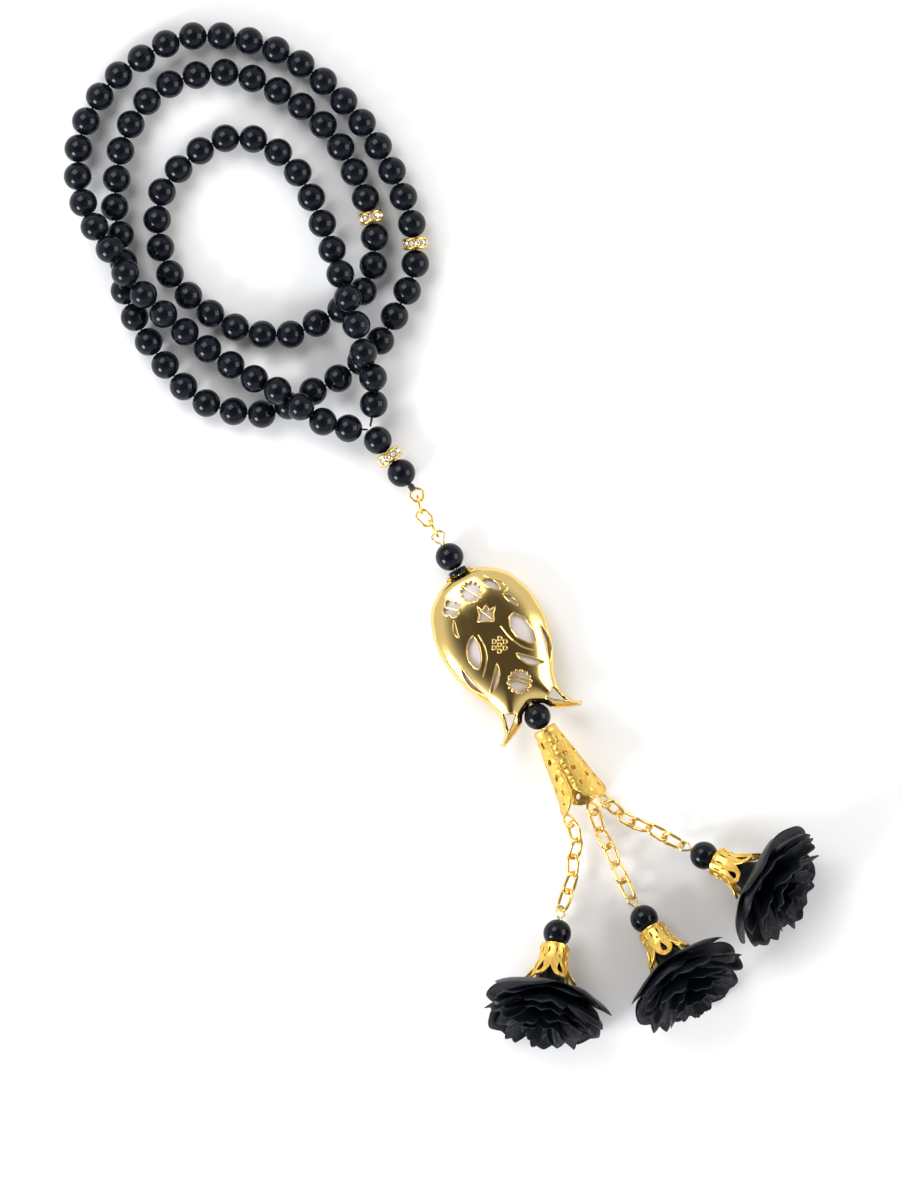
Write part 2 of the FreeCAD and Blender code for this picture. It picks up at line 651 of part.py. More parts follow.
def build_all():
    """Every sub-part, from the loop to the tassels."""
    build_loop()
    knot_eye, facing = build_head()
    small = (size("small_link_length"), size("small_link_width"), size("small_play"))
    pin_eye, roll = hang_links(("link_1", "link_2", "oval_ring"), HANGER_WAY, knot_eye, facing,
                               *small, 90)
    line = direction(*PIN_WAY)
    clear = size("running_clearance")
    bead = size("bead_diameter")
    top_at = size("eye_bore") / 2 + size("link_wire") + clear + bead / 2
    spacer_at = top_at + bead / 2 + clear
    pendant_at = spacer_at + size("spacer_length") + clear
    low_at = pendant_at + size("pendant_length") + size("low_bead_diameter") / 2 + clear
    cone_at = low_at + size("low_bead_diameter") / 2 + clear
    shaft_end = cone_at + size("cone_wall") * LID_SHARE + clear
    pin = eye_pin(size("eye_bore") / 2 + size("link_wire") / 2, shaft_end, size("pin_head_height"))
    add_feature("pendant_pin", pin, along(pin_eye, line, roll))
    build_bead("pendant_top_bead", "bead_diameter", along(pin_eye + line * top_at, line))
    bore = "( pin_diameter / 2 + running_clearance )"
    outer = "( spacer_diameter / 2 )"
    corners = [(bore, "( spacer_length )"), (outer, "( spacer_length )"), (outer, "( spacer_length * 2 )"),
               (bore, "( spacer_length * 2 )")]
    turned_body("pendant_spacer", corners, along(pin_eye + line * (spacer_at - size("spacer_length")), line))
    build_pendant(along(pin_eye + line * pendant_at, line))
    build_bead("pendant_low_bead", "low_bead_diameter", along(pin_eye + line * low_at, line))
    eyes = build_cone(along(pin_eye + line * cone_at, line), line)
    say_joint("pendant_pin", pin_eye, normal_of(line, roll))
    say_joint("pendant_axis", pin_eye, line)
    big = (size("link_length"), size("link_width"), size("link_play"))
    for side, (eye, facing), ways, tassel in zip(SIDES, eyes, CHAIN_WAYS, TASSEL_WAYS):
        labels = ["%s_chain_link_%d" % (side, number) for number in range(1, 6)]
        end, roll = hang_links(labels, ways, eye, facing, *big, 45)
        build_tassel(side, end, tassel, roll)


def write_all():
    """Check every object and write each sub-part to its own file."""
    doc.recompute()
    for item in doc.Objects:
        if "Invalid" in item.State or "Error" in item.State:
            raise SystemExit("%s failed: %s" % (item.Label, item.State))
    os.makedirs("parts", exist_ok=True)
    for item in nodes:
        if item.Shape.isNull() or not item.Shape.isValid():
            raise SystemExit("%s has no valid shape" % item.Label)
    for item in nodes:
        item.Shape.exportStep("parts/%s.step" % item.Label)
    box = Part.makeCompound([item.Shape for item in nodes]).BoundBox
    print("%d sub-parts, box %.1f..%.1f, %.1f..%.1f, %.1f..%.1f" % (
        len(nodes), box.XMin, box.XMax, box.YMin, box.YMax, box.ZMin, box.ZMax))


build_all()
write_all()
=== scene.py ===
# %% [markdown]
# # Misbaha prayer beads
# A misbaha is a counting string: ninety-five polished beads on a limp thread, jewelled rings that part them
# into three runs, and an ornament that hangs from the knot. This one carries a pierced gold tulip, a folded
# cone and three chains, each with a satin flower. The lesson builds every visible piece around a fixed
# frame. The frame gives the place and the line of each piece, so that nothing is fitted by eye afterwards.

# %% Load the frame
import json
import math
import random

import bmesh
import bpy
import numpy as np
from mathutils import Matrix, Vector, noise
from mathutils.bvhtree import BVHTree


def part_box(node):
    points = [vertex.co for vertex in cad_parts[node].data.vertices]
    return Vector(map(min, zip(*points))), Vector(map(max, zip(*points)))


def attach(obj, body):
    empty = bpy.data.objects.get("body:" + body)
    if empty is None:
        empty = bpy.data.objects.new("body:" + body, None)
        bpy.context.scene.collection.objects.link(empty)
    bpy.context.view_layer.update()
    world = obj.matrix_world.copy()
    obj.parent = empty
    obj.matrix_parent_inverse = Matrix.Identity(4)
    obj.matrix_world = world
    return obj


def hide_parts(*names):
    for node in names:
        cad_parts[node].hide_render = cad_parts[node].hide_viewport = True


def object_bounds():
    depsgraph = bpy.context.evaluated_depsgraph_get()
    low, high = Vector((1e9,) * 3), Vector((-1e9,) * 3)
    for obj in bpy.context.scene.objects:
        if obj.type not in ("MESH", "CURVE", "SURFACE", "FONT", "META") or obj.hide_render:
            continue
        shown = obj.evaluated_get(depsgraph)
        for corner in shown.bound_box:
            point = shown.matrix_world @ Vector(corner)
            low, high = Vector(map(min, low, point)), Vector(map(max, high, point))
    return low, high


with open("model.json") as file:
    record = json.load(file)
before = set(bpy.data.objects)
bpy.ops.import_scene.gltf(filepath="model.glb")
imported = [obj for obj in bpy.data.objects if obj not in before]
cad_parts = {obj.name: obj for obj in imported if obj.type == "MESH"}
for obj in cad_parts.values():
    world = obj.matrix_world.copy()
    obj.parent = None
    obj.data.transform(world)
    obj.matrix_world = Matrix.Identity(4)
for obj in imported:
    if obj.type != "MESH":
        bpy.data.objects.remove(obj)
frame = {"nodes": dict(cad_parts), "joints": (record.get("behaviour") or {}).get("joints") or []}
cad_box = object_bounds()
joints = {joint["name"]: joint for joint in frame["joints"]}

# %% [markdown]
# ## Where things go
# Small jewellery is easiest to model in millimetres, upright at the origin, with its line along Z. A joint of
# the frame says where a piece turns and about what line. So a matrix made from those two carries the finished
# mesh to its place and turns millimetres into metres in the same step.

# %% Places
MM = 0.001
UP = Vector((0, 0, 1))


def line_of(name):
    """Where a joint of the frame turns or slides, and the unit line of its motion."""
    joint = joints[name]
    return Vector(joint.get("pos_m", (0, 0, 0))), Vector(joint["axis"]).normalized()


def axes(origin, right, top, way):
    """Matrix that carries a piece made in millimetres to its place in metres."""
    turn = Matrix((right, top, way)).transposed().to_4x4()
    return Matrix.Translation(origin) @ turn @ Matrix.Scale(MM, 4)


def stand(origin, way, turn=0.0):
    """Place with its own Z along way and its Y as high as it goes, then turned about way in degrees."""
    side = way.cross(UP).normalized()
    top = Matrix.Rotation(math.radians(turn), 3, way) @ side.cross(way)
    return axes(origin, top.cross(way), top, way)


# %% [markdown]
# ## Picking and applying
# An operator works on whatever is selected. These helpers deselect everything, pick the faces, edges or
# points of one piece by where they are, and apply each modifier as soon as it is set. A finished model is then
# copied to its places, each copy with its own mesh.

# %% Hand tools
def alone(piece):
    """Make one piece the only selected and active one."""
    bpy.ops.object.select_all(action="DESELECT")
    piece.select_set(True)
    bpy.context.view_layer.objects.active = piece


def everything(spot):
    """A test that every spot passes."""
    return True


def pick(piece, kind, test):
    """Go into edit mode and select the piece's faces, edges or points whose middle passes a test."""
    alone(piece)
    bpy.ops.object.mode_set(mode="EDIT")
    bpy.ops.mesh.select_mode(type=kind)
    bpy.ops.mesh.select_all(action="DESELECT")
    shape = bmesh.from_edit_mesh(piece.data)
    for item in {"FACE": shape.faces, "EDGE": shape.edges, "VERT": shape.verts}[kind]:
        corners = [item] if kind == "VERT" else item.verts
        middle = sum((corner.co for corner in corners), Vector()) / len(corners)
        if test(middle):
            item.select_set(True)
    bmesh.update_edit_mesh(piece.data)


def leave():
    """Back to object mode."""
    bpy.ops.object.mode_set(mode="OBJECT")


def tidy(piece, gap=0.001):
    """Merge doubled points and turn every face outwards."""
    pick(piece, "VERT", everything)
    bpy.ops.mesh.remove_doubles(threshold=gap)
    bpy.ops.mesh.normals_make_consistent(inside=False)
    leave()


def modify(piece, kind, **settings):
    """Add a modifier, set it and apply it."""
    alone(piece)
    bpy.ops.object.modifier_add(type=kind)
    modifier = piece.modifiers[-1]
    for name, value in settings.items():
        setattr(modifier, name, value)
    bpy.ops.object.modifier_apply(modifier=modifier.name)


def smooth(piece, degrees=None):
    """Smooth shading, all over or only up to an edge angle."""
    alone(piece)
    if degrees is None:
        bpy.ops.object.shade_smooth()
    else:
        bpy.ops.object.shade_smooth_by_angle(angle=math.radians(degrees))


def copied(model, name, place):
    """A copy with its own mesh, carried to its place."""
    piece = bpy.data.objects.new(name, model.data.copy())
    bpy.context.scene.collection.objects.link(piece)
    piece.data.transform(place)
    return piece


def joined(pieces, name):
    """Several pieces as one."""
    alone(pieces[0])
    for piece in pieces:
        piece.select_set(True)
    bpy.ops.object.join()
    pieces[0].name = name
    return pieces[0]


def settle(piece):
    """Move a piece's place into its mesh."""
    piece.data.transform(piece.matrix_basis)
    piece.matrix_basis = Matrix.Identity(4)
    return piece


def retire(*models):
    """Put away models that have been copied."""
    for model in models:
        bpy.data.objects.remove(model)


def finish(piece, material, slot, body, *nodes):
    """Give a piece its finish and its body, and hide the nodes of the frame that it stands for."""
    piece.data.materials.clear()
    piece.data.materials.append(material)
    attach(piece, body)
    if nodes:
        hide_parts(*nodes)
    return piece


print("hand tools ready")

# %% [markdown]
# ## Camera
# The beads lie on a table and are looked at from straight above. A long lens from two metres keeps the small
# pieces from leaning outwards at the edges of the view. The aim is measured from the middle of the frame's
# box, and the lens follows from the height of the view.

# %% Camera
CAMERA_HEIGHT = 2.0
VIEW_HEIGHT = 0.3333
AIM_SHIFT = Vector((0.00135, -0.01685, 0))
SENSOR = 36.0
middle_of_box = (cad_box[0] + cad_box[1]) / 2
aim = Vector((middle_of_box.x, middle_of_box.y, 0)) + AIM_SHIFT
bpy.ops.object.camera_add(location=aim + UP * CAMERA_HEIGHT, rotation=(0, 0, 0))
camera = bpy.context.object
camera.data.sensor_width = SENSOR
camera.data.lens = SENSOR * CAMERA_HEIGHT / VIEW_HEIGHT
camera.data.clip_start = 0.05
camera.data.clip_end = 20
bpy.context.scene.camera = camera
print("lens", round(camera.data.lens, 1), "mm")

# %% [markdown]
# ## Light and table
# Black glass and mirror gold show little of their own: what they show is the room. So the sky here is pale all
# round and dim overhead, which gives the gold its dark middle and keeps the beads black, and one broad soft
# window low on the left puts a highlight on the same side of every bead.

# %% Sky
world = bpy.data.worlds.new("pale_room")
bpy.context.scene.world = world
world.use_nodes = True
sky = world.node_tree
background = sky.nodes["Background"]
towards = sky.nodes.new("ShaderNodeTexCoord")
parts = sky.nodes.new("ShaderNodeSeparateXYZ")
ramp = sky.nodes.new("ShaderNodeValToRGB")
ramp.color_ramp.interpolation = "EASE"
ramp.color_ramp.elements[0].position = 0.62
ramp.color_ramp.elements[0].color = (0.93, 0.95, 1.0, 1)
ramp.color_ramp.elements[1].position = 0.93
ramp.color_ramp.elements[1].color = (0.10, 0.09, 0.085, 1)
sky.links.new(towards.outputs["Generated"], parts.inputs[0])
sky.links.new(parts.outputs["Z"], ramp.inputs["Fac"])
sky.links.new(ramp.outputs["Color"], background.inputs["Color"])
background.inputs["Strength"].default_value = 0.85
bpy.context.scene.view_settings.view_transform = "Standard"


# %% Lamps
def lamp(name, side, height, wide, power, tint=(1, 1, 1)):
    """Soft square lamp that looks at the middle of the table."""
    where = aim + Vector(side) + UP * height
    bpy.ops.object.light_add(type="AREA", location=where)
    made = bpy.context.object
    made.name = name
    made.data.size = wide
    made.data.energy = power
    made.data.color = tint
    made.rotation_mode = "QUATERNION"
    made.rotation_quaternion = (aim - where).to_track_quat("-Z", "Y")
    return made


lamp("window", (-0.62, -0.50, 0), 0.40, 0.34, 7.0, (0.96, 0.98, 1.0))
lamp("top_left", (-0.55, 0.75, 0), 0.95, 0.8, 9.0)
lamp("right_fill", (0.95, 0.10, 0), 0.65, 0.7, 6.0, (1.0, 0.97, 0.9))

# %% Table
bpy.ops.mesh.primitive_grid_add(x_subdivisions=8, y_subdivisions=8, size=3.0,
                                location=(aim.x, aim.y, -0.0004))
table = bpy.context.object
table.name = "table"
table_paint = bpy.data.materials.new("table_paint")
table_paint.use_nodes = True
paint = table_paint.node_tree.nodes["Principled BSDF"]
paint.inputs["Base Color"].default_value = (0.93, 0.93, 0.93, 1)
paint.inputs["Roughness"].default_value = 0.85
table.data.materials.append(table_paint)
print("three lamps and a pale table")

# %% [markdown]
# ## Finishes
# Five groups hold what several materials share. Handled metal clouds with smudges, can be hammered, and has
# painted shade laid along its dents; polished glass collects faint smears; satin has a fine weave, long creases
# and patches of painted sheen; thread has a twist.
# Each group gives only a colour, a roughness and a height, and every material keeps its own shader.

# %% Group helpers
def new_group(name, inputs, outputs):
    """Empty shader node group with named sockets."""
    tree = bpy.data.node_groups.new(name, "ShaderNodeTree")
    for title, kind, value in inputs:
        socket = tree.interface.new_socket(title, in_out="INPUT", socket_type="NodeSocket" + kind)
        socket.default_value = value
    for title, kind in outputs:
        tree.interface.new_socket(title, in_out="OUTPUT", socket_type="NodeSocket" + kind)
    return tree, tree.nodes.new("NodeGroupInput").outputs, tree.nodes.new("NodeGroupOutput").inputs


def link(tree, *pairs):
    """Join sockets two by two."""
    for here, there in pairs:
        tree.links.new(here, there)


def sum_of(tree, kind, one, two):
    """Math node with two sockets or numbers."""
    made = tree.nodes.new("ShaderNodeMath")
    made.operation = kind
    for socket, value in zip(made.inputs, (one, two)):
        if isinstance(value, (int, float)):
            socket.default_value = value
        else:
            tree.links.new(value, socket)
    return made.outputs[0]


def mixed(tree, share, one, two):
    """Colour between two, by a share."""
    made = tree.nodes.new("ShaderNodeMix")
    made.data_type = "RGBA"
    link(tree, (share, made.inputs["Factor"]), (one, made.inputs["A"]), (two, made.inputs["B"]))
    return made.outputs["Result"]


def texture(tree, kind, **settings):
    """Texture of kind with its inputs set."""
    made = tree.nodes.new("ShaderNodeTex" + kind)
    for title, value in settings.items():
        made.inputs[title].default_value = value
    return made


def place_on(tree, kind, **settings):
    """Texture of kind that lies on the piece by its object coordinates."""
    where = tree.nodes.new("ShaderNodeTexCoord")
    made = texture(tree, kind, **settings)
    tree.links.new(where.outputs["Object"], made.inputs["Vector"])
    return made


RESULTS = (("Color", "Color"), ("Roughness", "Float"), ("Height", "Float"))


# %% Handled metal and painted dent shade
metal, given, gives = new_group(
    "handled_metal_and_dent_shade",
    (("Base", "Color", (1, 1, 1, 1)), ("Smudged_and_shaded", "Color", (0, 0, 0, 1)), ("Polish", "Float", 0.2),
     ("Hammer", "Float", 0.0), ("Wear", "Float", 0.3)), RESULTS)
clouds = place_on(metal, "Noise", Scale=210, Detail=6)
dents = place_on(metal, "Voronoi", Scale=900)
dents.feature = "SMOOTH_F1"
scuffs = place_on(metal, "Noise", Scale=2600, Detail=3)
hollow = sum_of(metal, "MULTIPLY", dents.outputs["Distance"], given["Hammer"])
cloudy = sum_of(metal, "MULTIPLY", sum_of(metal, "POWER", clouds.outputs["Fac"], 2.2), given["Wear"])
# Real handling smudges (cloudy) and painted shade along the hammer dents (half the dent value) both pull the
# colour towards the second, darker colour.
shade = sum_of(metal, "MINIMUM", sum_of(metal, "ADD", cloudy, sum_of(metal, "MULTIPLY", hollow, 0.5)), 1.0)
rough = sum_of(metal, "ADD", given["Polish"], sum_of(metal, "MULTIPLY", cloudy, 0.5))
tall = sum_of(metal, "ADD", hollow, sum_of(metal, "MULTIPLY", scuffs.outputs["Fac"], 0.12))
link(metal, (mixed(metal, shade, given["Base"], given["Smudged_and_shaded"]), gives["Color"]),
     (rough, gives["Roughness"]), (tall, gives["Height"]))

# %% Polished glass
glass, given, gives = new_group(
    "polished_glass",
    (("Base", "Color", (0, 0, 0, 1)), ("Haze", "Color", (0.02, 0.03, 0.05, 1)), ("Polish", "Float", 0.05)),
    RESULTS)
smears = place_on(glass, "Noise", Scale=320, Detail=5)
specks = place_on(glass, "Noise", Scale=5200)
faint = sum_of(glass, "POWER", smears.outputs["Fac"], 3.0)
link(glass, (mixed(glass, faint, given["Base"], given["Haze"]), gives["Color"]),
     (sum_of(glass, "ADD", given["Polish"], sum_of(glass, "MULTIPLY", faint, 0.12)), gives["Roughness"]),
     (specks.outputs["Fac"], gives["Height"]))

# %% Satin weave and painted sheen
satin, given, gives = new_group(
    "satin_weave_and_painted_sheen",
    (("Base", "Color", (0, 0, 0, 1)), ("Sheen", "Color", (0.05, 0.06, 0.08, 1)), ("Polish", "Float", 0.4)),
    RESULTS)
cut = satin.nodes.new("ShaderNodeUVMap")
cut.uv_map = "cloth"
weft = texture(satin, "Wave", Scale=700)
warp = texture(satin, "Wave", Scale=1100)
warp.bands_direction = "Y"
crease_and_sheen = texture(satin, "Noise", Scale=260, Detail=4, Distortion=1.5)
for weave in (weft, warp, crease_and_sheen):
    satin.links.new(cut.outputs["UV"], weave.inputs["Vector"])
threads = sum_of(satin, "MULTIPLY", weft.outputs["Fac"], warp.outputs["Fac"])
# Patches of the crease noise lay the lighter Sheen colour on the black and lower the roughness there: the colour
# is a painted sheen.
painted_sheen_patches = sum_of(satin, "POWER", crease_and_sheen.outputs["Fac"], 2.5)
link(satin, (mixed(satin, painted_sheen_patches, given["Base"], given["Sheen"]), gives["Color"]),
     (sum_of(satin, "ADD", given["Polish"], sum_of(satin, "MULTIPLY", painted_sheen_patches, -0.25)), gives["Roughness"]),
     (sum_of(satin, "ADD", sum_of(satin, "MULTIPLY", threads, 0.12), crease_and_sheen.outputs["Fac"]), gives["Height"]))

# %% Twisted thread and pearl
twist, given, gives = new_group(
    "twisted_thread",
    (("Base", "Color", (0, 0, 0, 1)), ("Lint", "Color", (0.04, 0.04, 0.04, 1)), ("Polish", "Float", 0.6)),
    RESULTS)
plies = place_on(twist, "Wave", Scale=900, Distortion=2.0)
plies.bands_direction = "DIAGONAL"
link(twist, (mixed(twist, plies.outputs["Fac"], given["Base"], given["Lint"]), gives["Color"]),
     (given["Polish"], gives["Roughness"]), (plies.outputs["Fac"], gives["Height"]))

pearl, given, gives = new_group(
    "pearly",
    (("Base", "Color", (1, 1, 1, 1)), ("Blush", "Color", (0.6, 0.5, 0.55, 1)), ("Polish", "Float", 0.3)),
    RESULTS)
layers = place_on(pearl, "Noise", Scale=90, Detail=2)
link(pearl, (mixed(pearl, layers.outputs["Fac"], given["Base"], given["Blush"]), gives["Color"]),
     (given["Polish"], gives["Roughness"]), (layers.outputs["Fac"], gives["Height"]))


# %% Materials
def material(name, tree, colours, numbers, bump, constants):
    """Material with its own shader, fed by a group; colours and numbers set the group's sockets."""
    made = bpy.data.materials.new(name)
    made.use_nodes = True
    nodes = made.node_tree
    shader = nodes.nodes["Principled BSDF"]
    effect = nodes.nodes.new("ShaderNodeGroup")
    effect.node_tree = tree
    for title, colour in colours.items():
        effect.inputs[title].default_value = (*colour, 1)
    for title, number in numbers.items():
        effect.inputs[title].default_value = number
    raise_by = nodes.nodes.new("ShaderNodeBump")
    raise_by.inputs["Strength"].default_value = bump[0]
    raise_by.inputs["Distance"].default_value = bump[1]
    link(nodes, (effect.outputs["Color"], shader.inputs["Base Color"]),
         (effect.outputs["Roughness"], shader.inputs["Roughness"]),
         (effect.outputs["Height"], raise_by.inputs["Height"]),
         (raise_by.outputs["Normal"], shader.inputs["Normal"]))
    for title, value in constants.items():
        shader.inputs[title].default_value = value
    return made


def gold(name, base, smudged_and_shaded, polish, hammer, wear, bump):
    """One of the gold finishes."""
    return material(name, metal, {"Base": base, "Smudged_and_shaded": smudged_and_shaded},
                    {"Polish": polish, "Hammer": hammer, "Wear": wear}, bump, {"Metallic": 1.0})


# In each gold the second colour serves both for handling smudges and for painted shade along the dents, which
# grows with the hammer setting (0.8 on the hammered gold).
tulip_gold = gold("tulip_gold", (0.91, 0.66, 0.24), (0.50, 0.33, 0.10), 0.10, 0.0, 0.35, (0.25, 0.00006))
hammered_gold = gold("hammered_gold", (0.98, 0.68, 0.16), (0.55, 0.30, 0.05), 0.24, 0.8, 0.5, (0.7, 0.00022))
chain_gold = gold("chain_gold", (0.96, 0.66, 0.20), (0.52, 0.30, 0.07), 0.18, 0.15, 0.4, (0.4, 0.0001))
pale_wire = gold("pale_wire", (0.88, 0.76, 0.42), (0.50, 0.42, 0.20), 0.20, 0.1, 0.4, (0.3, 0.0001))
ring_gold = gold("ring_gold", (0.95, 0.68, 0.22), (0.45, 0.27, 0.07), 0.16, 0.1, 0.4, (0.3, 0.0001))
# The faint blue in the bead's black and in its smear colour is a painted blue reflection.
bead_glass = material("bead_glass", glass, {"Base": (0.003, 0.004, 0.007), "Haze": (0.008, 0.012, 0.020)},
                      {"Polish": 0.05}, (0.03, 0.00002), {"IOR": 1.52, "Specular IOR Level": 0.2})
cut_stone = material("cut_stone", glass, {"Base": (0.90, 0.92, 0.95), "Haze": (0.75, 0.80, 0.88)},
                     {"Polish": 0.04}, (0.02, 0.00002), {"Metallic": 0.75, "IOR": 1.6})
# The satin's Sheen colour is a painted blue-grey sheen; the shader's own sheen settings below are real shading.
flower_satin = material(
    "flower_satin", satin, {"Base": (0.002, 0.003, 0.005), "Sheen": (0.009, 0.014, 0.024)}, {"Polish": 0.42},
    (0.35, 0.0005), {"Specular IOR Level": 0.22, "Sheen Weight": 0.03, "Sheen Roughness": 0.35,
                     "Sheen Tint": (0.45, 0.6, 0.85, 1)})
black_thread = material("black_thread", twist, {"Base": (0.006, 0.006, 0.008), "Lint": (0.03, 0.03, 0.035)},
                        {"Polish": 0.6}, (0.6, 0.0001), {"Sheen Weight": 0.15})
pearl_coat = material("pearl_coat", pearl, {"Base": (0.80, 0.76, 0.72), "Blush": (0.58, 0.49, 0.52)},
                      {"Polish": 0.28}, (0.1, 0.0002), {"Coat Weight": 0.4})
print(len(bpy.data.node_groups), "shared effects,", len(bpy.data.materials), "materials")

# %% [markdown]
# ## The thread
# The loop is one limp thread, 0.6 mm thick and about 0.76 m long, followed from bead to bead. It leaves the
# head bead, goes three times round in loose uneven turns, passes over itself in low humps where the beads
# cross, and comes back to the head bead. Its route is a list of given points, which are the control
# points of one smooth spline, so the beads have a real curve to follow.

# %% Thread
THREAD = 0.0006
LAY = Vector((-0.6, 0.9, 0))
ROUTE = (                      # millimetres
    (-20.4, 28.5, 3.9), (-29.5, 28.6, 6.6), (-37.2, 33.3, 11.2), (-43.8, 38.6, 11.2),
    (-54.2, 43.6, 5.8), (-66.6, 52.0, 4.6), (-79.0, 62.0, 9.2), (-86.6, 70.4, 11.6),
    (-92.0, 79.0, 11.6), (-98.6, 88.4, 7.6), (-101.4, 101.0, 4.2), (-99.4, 113.4, 3.9),
    (-91.6, 125.6, 3.9), (-79.6, 133.8, 3.9), (-71.3, 137.9, 3.9), (-57.0, 137.6, 3.9),
    (-43.3, 133.1, 3.9), (-31.2, 124.3, 3.9), (-20.4, 112.2, 3.9), (-12.4, 98.6, 3.9),
    (-7.4, 84.6, 3.9), (-6.6, 72.6, 3.9), (-12.6, 60.4, 3.9), (-17.6, 51.2, 3.9),
    (-28.2, 42.4, 3.9), (-38.0, 38.0, 3.9), (-46.4, 32.4, 3.9), (-57.6, 33.2, 3.9),
    (-68.4, 36.8, 3.9), (-77.8, 47.8, 3.9), (-84.8, 58.6, 3.9), (-89.0, 70.0, 3.9),
    (-87.2, 78.4, 3.9), (-90.8, 87.0, 3.9), (-90.0, 98.0, 3.9), (-88.4, 109.6, 3.9),
    (-80.8, 121.4, 3.9), (-70.2, 126.8, 3.9), (-56.6, 128.0, 3.9), (-42.8, 121.4, 3.9),
    (-30.4, 111.6, 3.9), (-22.8, 98.0, 3.9), (-18.4, 85.6, 3.9), (-18.2, 74.2, 3.9),
    (-21.8, 65.2, 3.9), (-33.0, 58.8, 3.9), (-42.4, 53.8, 3.9), (-55.8, 55.8, 3.9),
    (-65.2, 61.2, 3.9), (-75.6, 70.8, 3.9), (-78.4, 80.8, 3.9), (-79.0, 93.0, 3.9),
    (-71.6, 102.6, 3.9), (-60.2, 110.2, 3.9), (-49.4, 109.0, 3.9), (-39.2, 100.4, 3.9),
    (-33.2, 86.6, 3.9), (-29.0, 75.2, 5.2), (-26.4, 66.6, 11.3), (-23.4, 57.8, 11.6),
    (-21.2, 48.2, 12.1), (-17.4, 40.4, 7.8), (-19.6, 29.4, 3.9),
)
path = bpy.data.curves.new("strand_thread_line", "CURVE")
path.dimensions = "3D"
path.resolution_u = 16
spline = path.splines.new("NURBS")
spline.points.add(len(ROUTE) - 1)
for point, spot in zip(spline.points, ROUTE):
    point.co = (*((Vector(spot) + LAY) * MM), 1)
spline.order_u = 3
spline.use_endpoint_u = True
thread = bpy.data.objects.new("thread", path)
bpy.context.scene.collection.objects.link(thread)


# %% Read the line back
class Line:
    """Points along a curve, and where it is at any distance."""

    def __init__(self, piece):
        bpy.context.view_layer.update()
        seen = piece.evaluated_get(bpy.context.evaluated_depsgraph_get())
        shape = bpy.data.meshes.new_from_object(seen)
        self.points = np.array([point.co for point in shape.vertices])
        steps = np.linalg.norm(np.diff(self.points, axis=0), axis=1)
        self.at = np.concatenate(([0.0], np.cumsum(steps)))
        bpy.data.meshes.remove(shape)

    def spot(self, distance):
        return Vector([float(np.interp(distance, self.at, self.points[:, axis])) for axis in range(3)])

    def way(self, distance):
        return (self.spot(distance + 0.0008) - self.spot(distance - 0.0008)).normalized()

    def nearest(self, spot):
        return float(self.at[np.argmin(np.linalg.norm(self.points - np.array(spot), axis=1))])


line = Line(thread)
path.bevel_depth = THREAD / 2
path.bevel_resolution = 2
thread.data.materials.append(black_thread)
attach(thread, "strand")
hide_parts("strand_thread")
print("thread", round(line.at[-1], 4), "m")

# %% [markdown]
# ## Beads
# Every bead is a ball of black glass, 7.8 mm across, drilled through and polished. A ball with many rings of
# faces is opened at its two poles, the openings are bridged into a bore, and the sharp mouth is rounded a
# little. The same model then serves for all of them. A bead is threaded by its bore, so the copies follow the
# thread's own line.

# %% One drilled bead
BEAD = 7.8
BORE = 1.8


def drilled_bead(name, across):
    """Ball with a bore along Z and softened mouths, in millimetres."""
    bpy.ops.mesh.primitive_uv_sphere_add(segments=36, ring_count=27, radius=across / 2)
    bead = bpy.context.object
    bead.name = name
    pick(bead, "FACE", lambda spot: math.hypot(spot.x, spot.y) < BORE / 2)
    bpy.ops.mesh.delete(type="FACE")
    bpy.ops.mesh.select_mode(type="EDGE")
    bpy.ops.mesh.select_all(action="DESELECT")
    bpy.ops.mesh.select_non_manifold()
    bpy.ops.mesh.bridge_edge_loops()
    leave()
    mouth = across / 2 * 0.96
    pick(bead, "EDGE", lambda spot: abs(spot.z) > mouth and math.hypot(spot.x, spot.y) < BORE * 0.52)
    bpy.ops.mesh.bevel(offset=0.16, segments=2)
    leave()
    tidy(bead)
    smooth(bead, 50)
    return bead


bead_model = drilled_bead("bead_model", BEAD)
LOW_BEAD = 7.4
low_bead_model = drilled_bead("low_bead_model", LOW_BEAD)
print("one bead has", len(bead_model.data.polygons), "faces")

# %% Runs of beads
RUNS = (33, 33, 28)
HEAD_GAP = 0.0016
rings = [line_of("rondelle_%d_spin" % number) for number in (1, 2, 3)]
RING_HALF = 0.0016
counting_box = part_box("counting_bead")
counting_at = line.nearest((counting_box[0] + counting_box[1]) / 2)
stations = [HEAD_GAP, line.nearest(rings[0][0]), line.nearest(rings[1][0]), counting_at - BEAD * MM / 2]
half = BEAD * MM / 2
slack = 0.00008
centres = []
for run, count in enumerate(RUNS):
    start = stations[run] + (RING_HALF + slack if run else 0) + half
    end = stations[run + 1] - (RING_HALF + slack if run < 2 else slack) - half
    spots = [start + (end - start) * index / (count - 1) for index in range(count)]
    per_group = -(-count // 3)
    for group in range(3):
        beads = []
        for spot in spots[group * per_group:(group + 1) * per_group]:
            centres.append(line.spot(spot))
            beads.append(copied(bead_model, "bead", stand(line.spot(spot), line.way(spot))))
        node_name = "run_%d_beads_%s" % (run + 1, "abc"[group])
        finish(joined(beads, "beads_%d%s" % (run + 1, "abc"[group])), bead_glass, "black_bead", "strand",
               node_name)
    print("run", run + 1, "pitch", round((end - start) / (count - 1) * 1000, 3), "mm")
closest = min((a - b).length for place, a in enumerate(centres) for b in centres[place + 2:])
print("closest two beads that aren't neighbours:", round(closest * 1000, 2), "mm")

# %% Beads with a motion of their own
def lone_bead(model, label, spot, way, node):
    """A bead that is a body of its own, named as its node."""
    finish(copied(model, label + "_glass", stand(spot, way)), bead_glass, "black_bead", node, node)


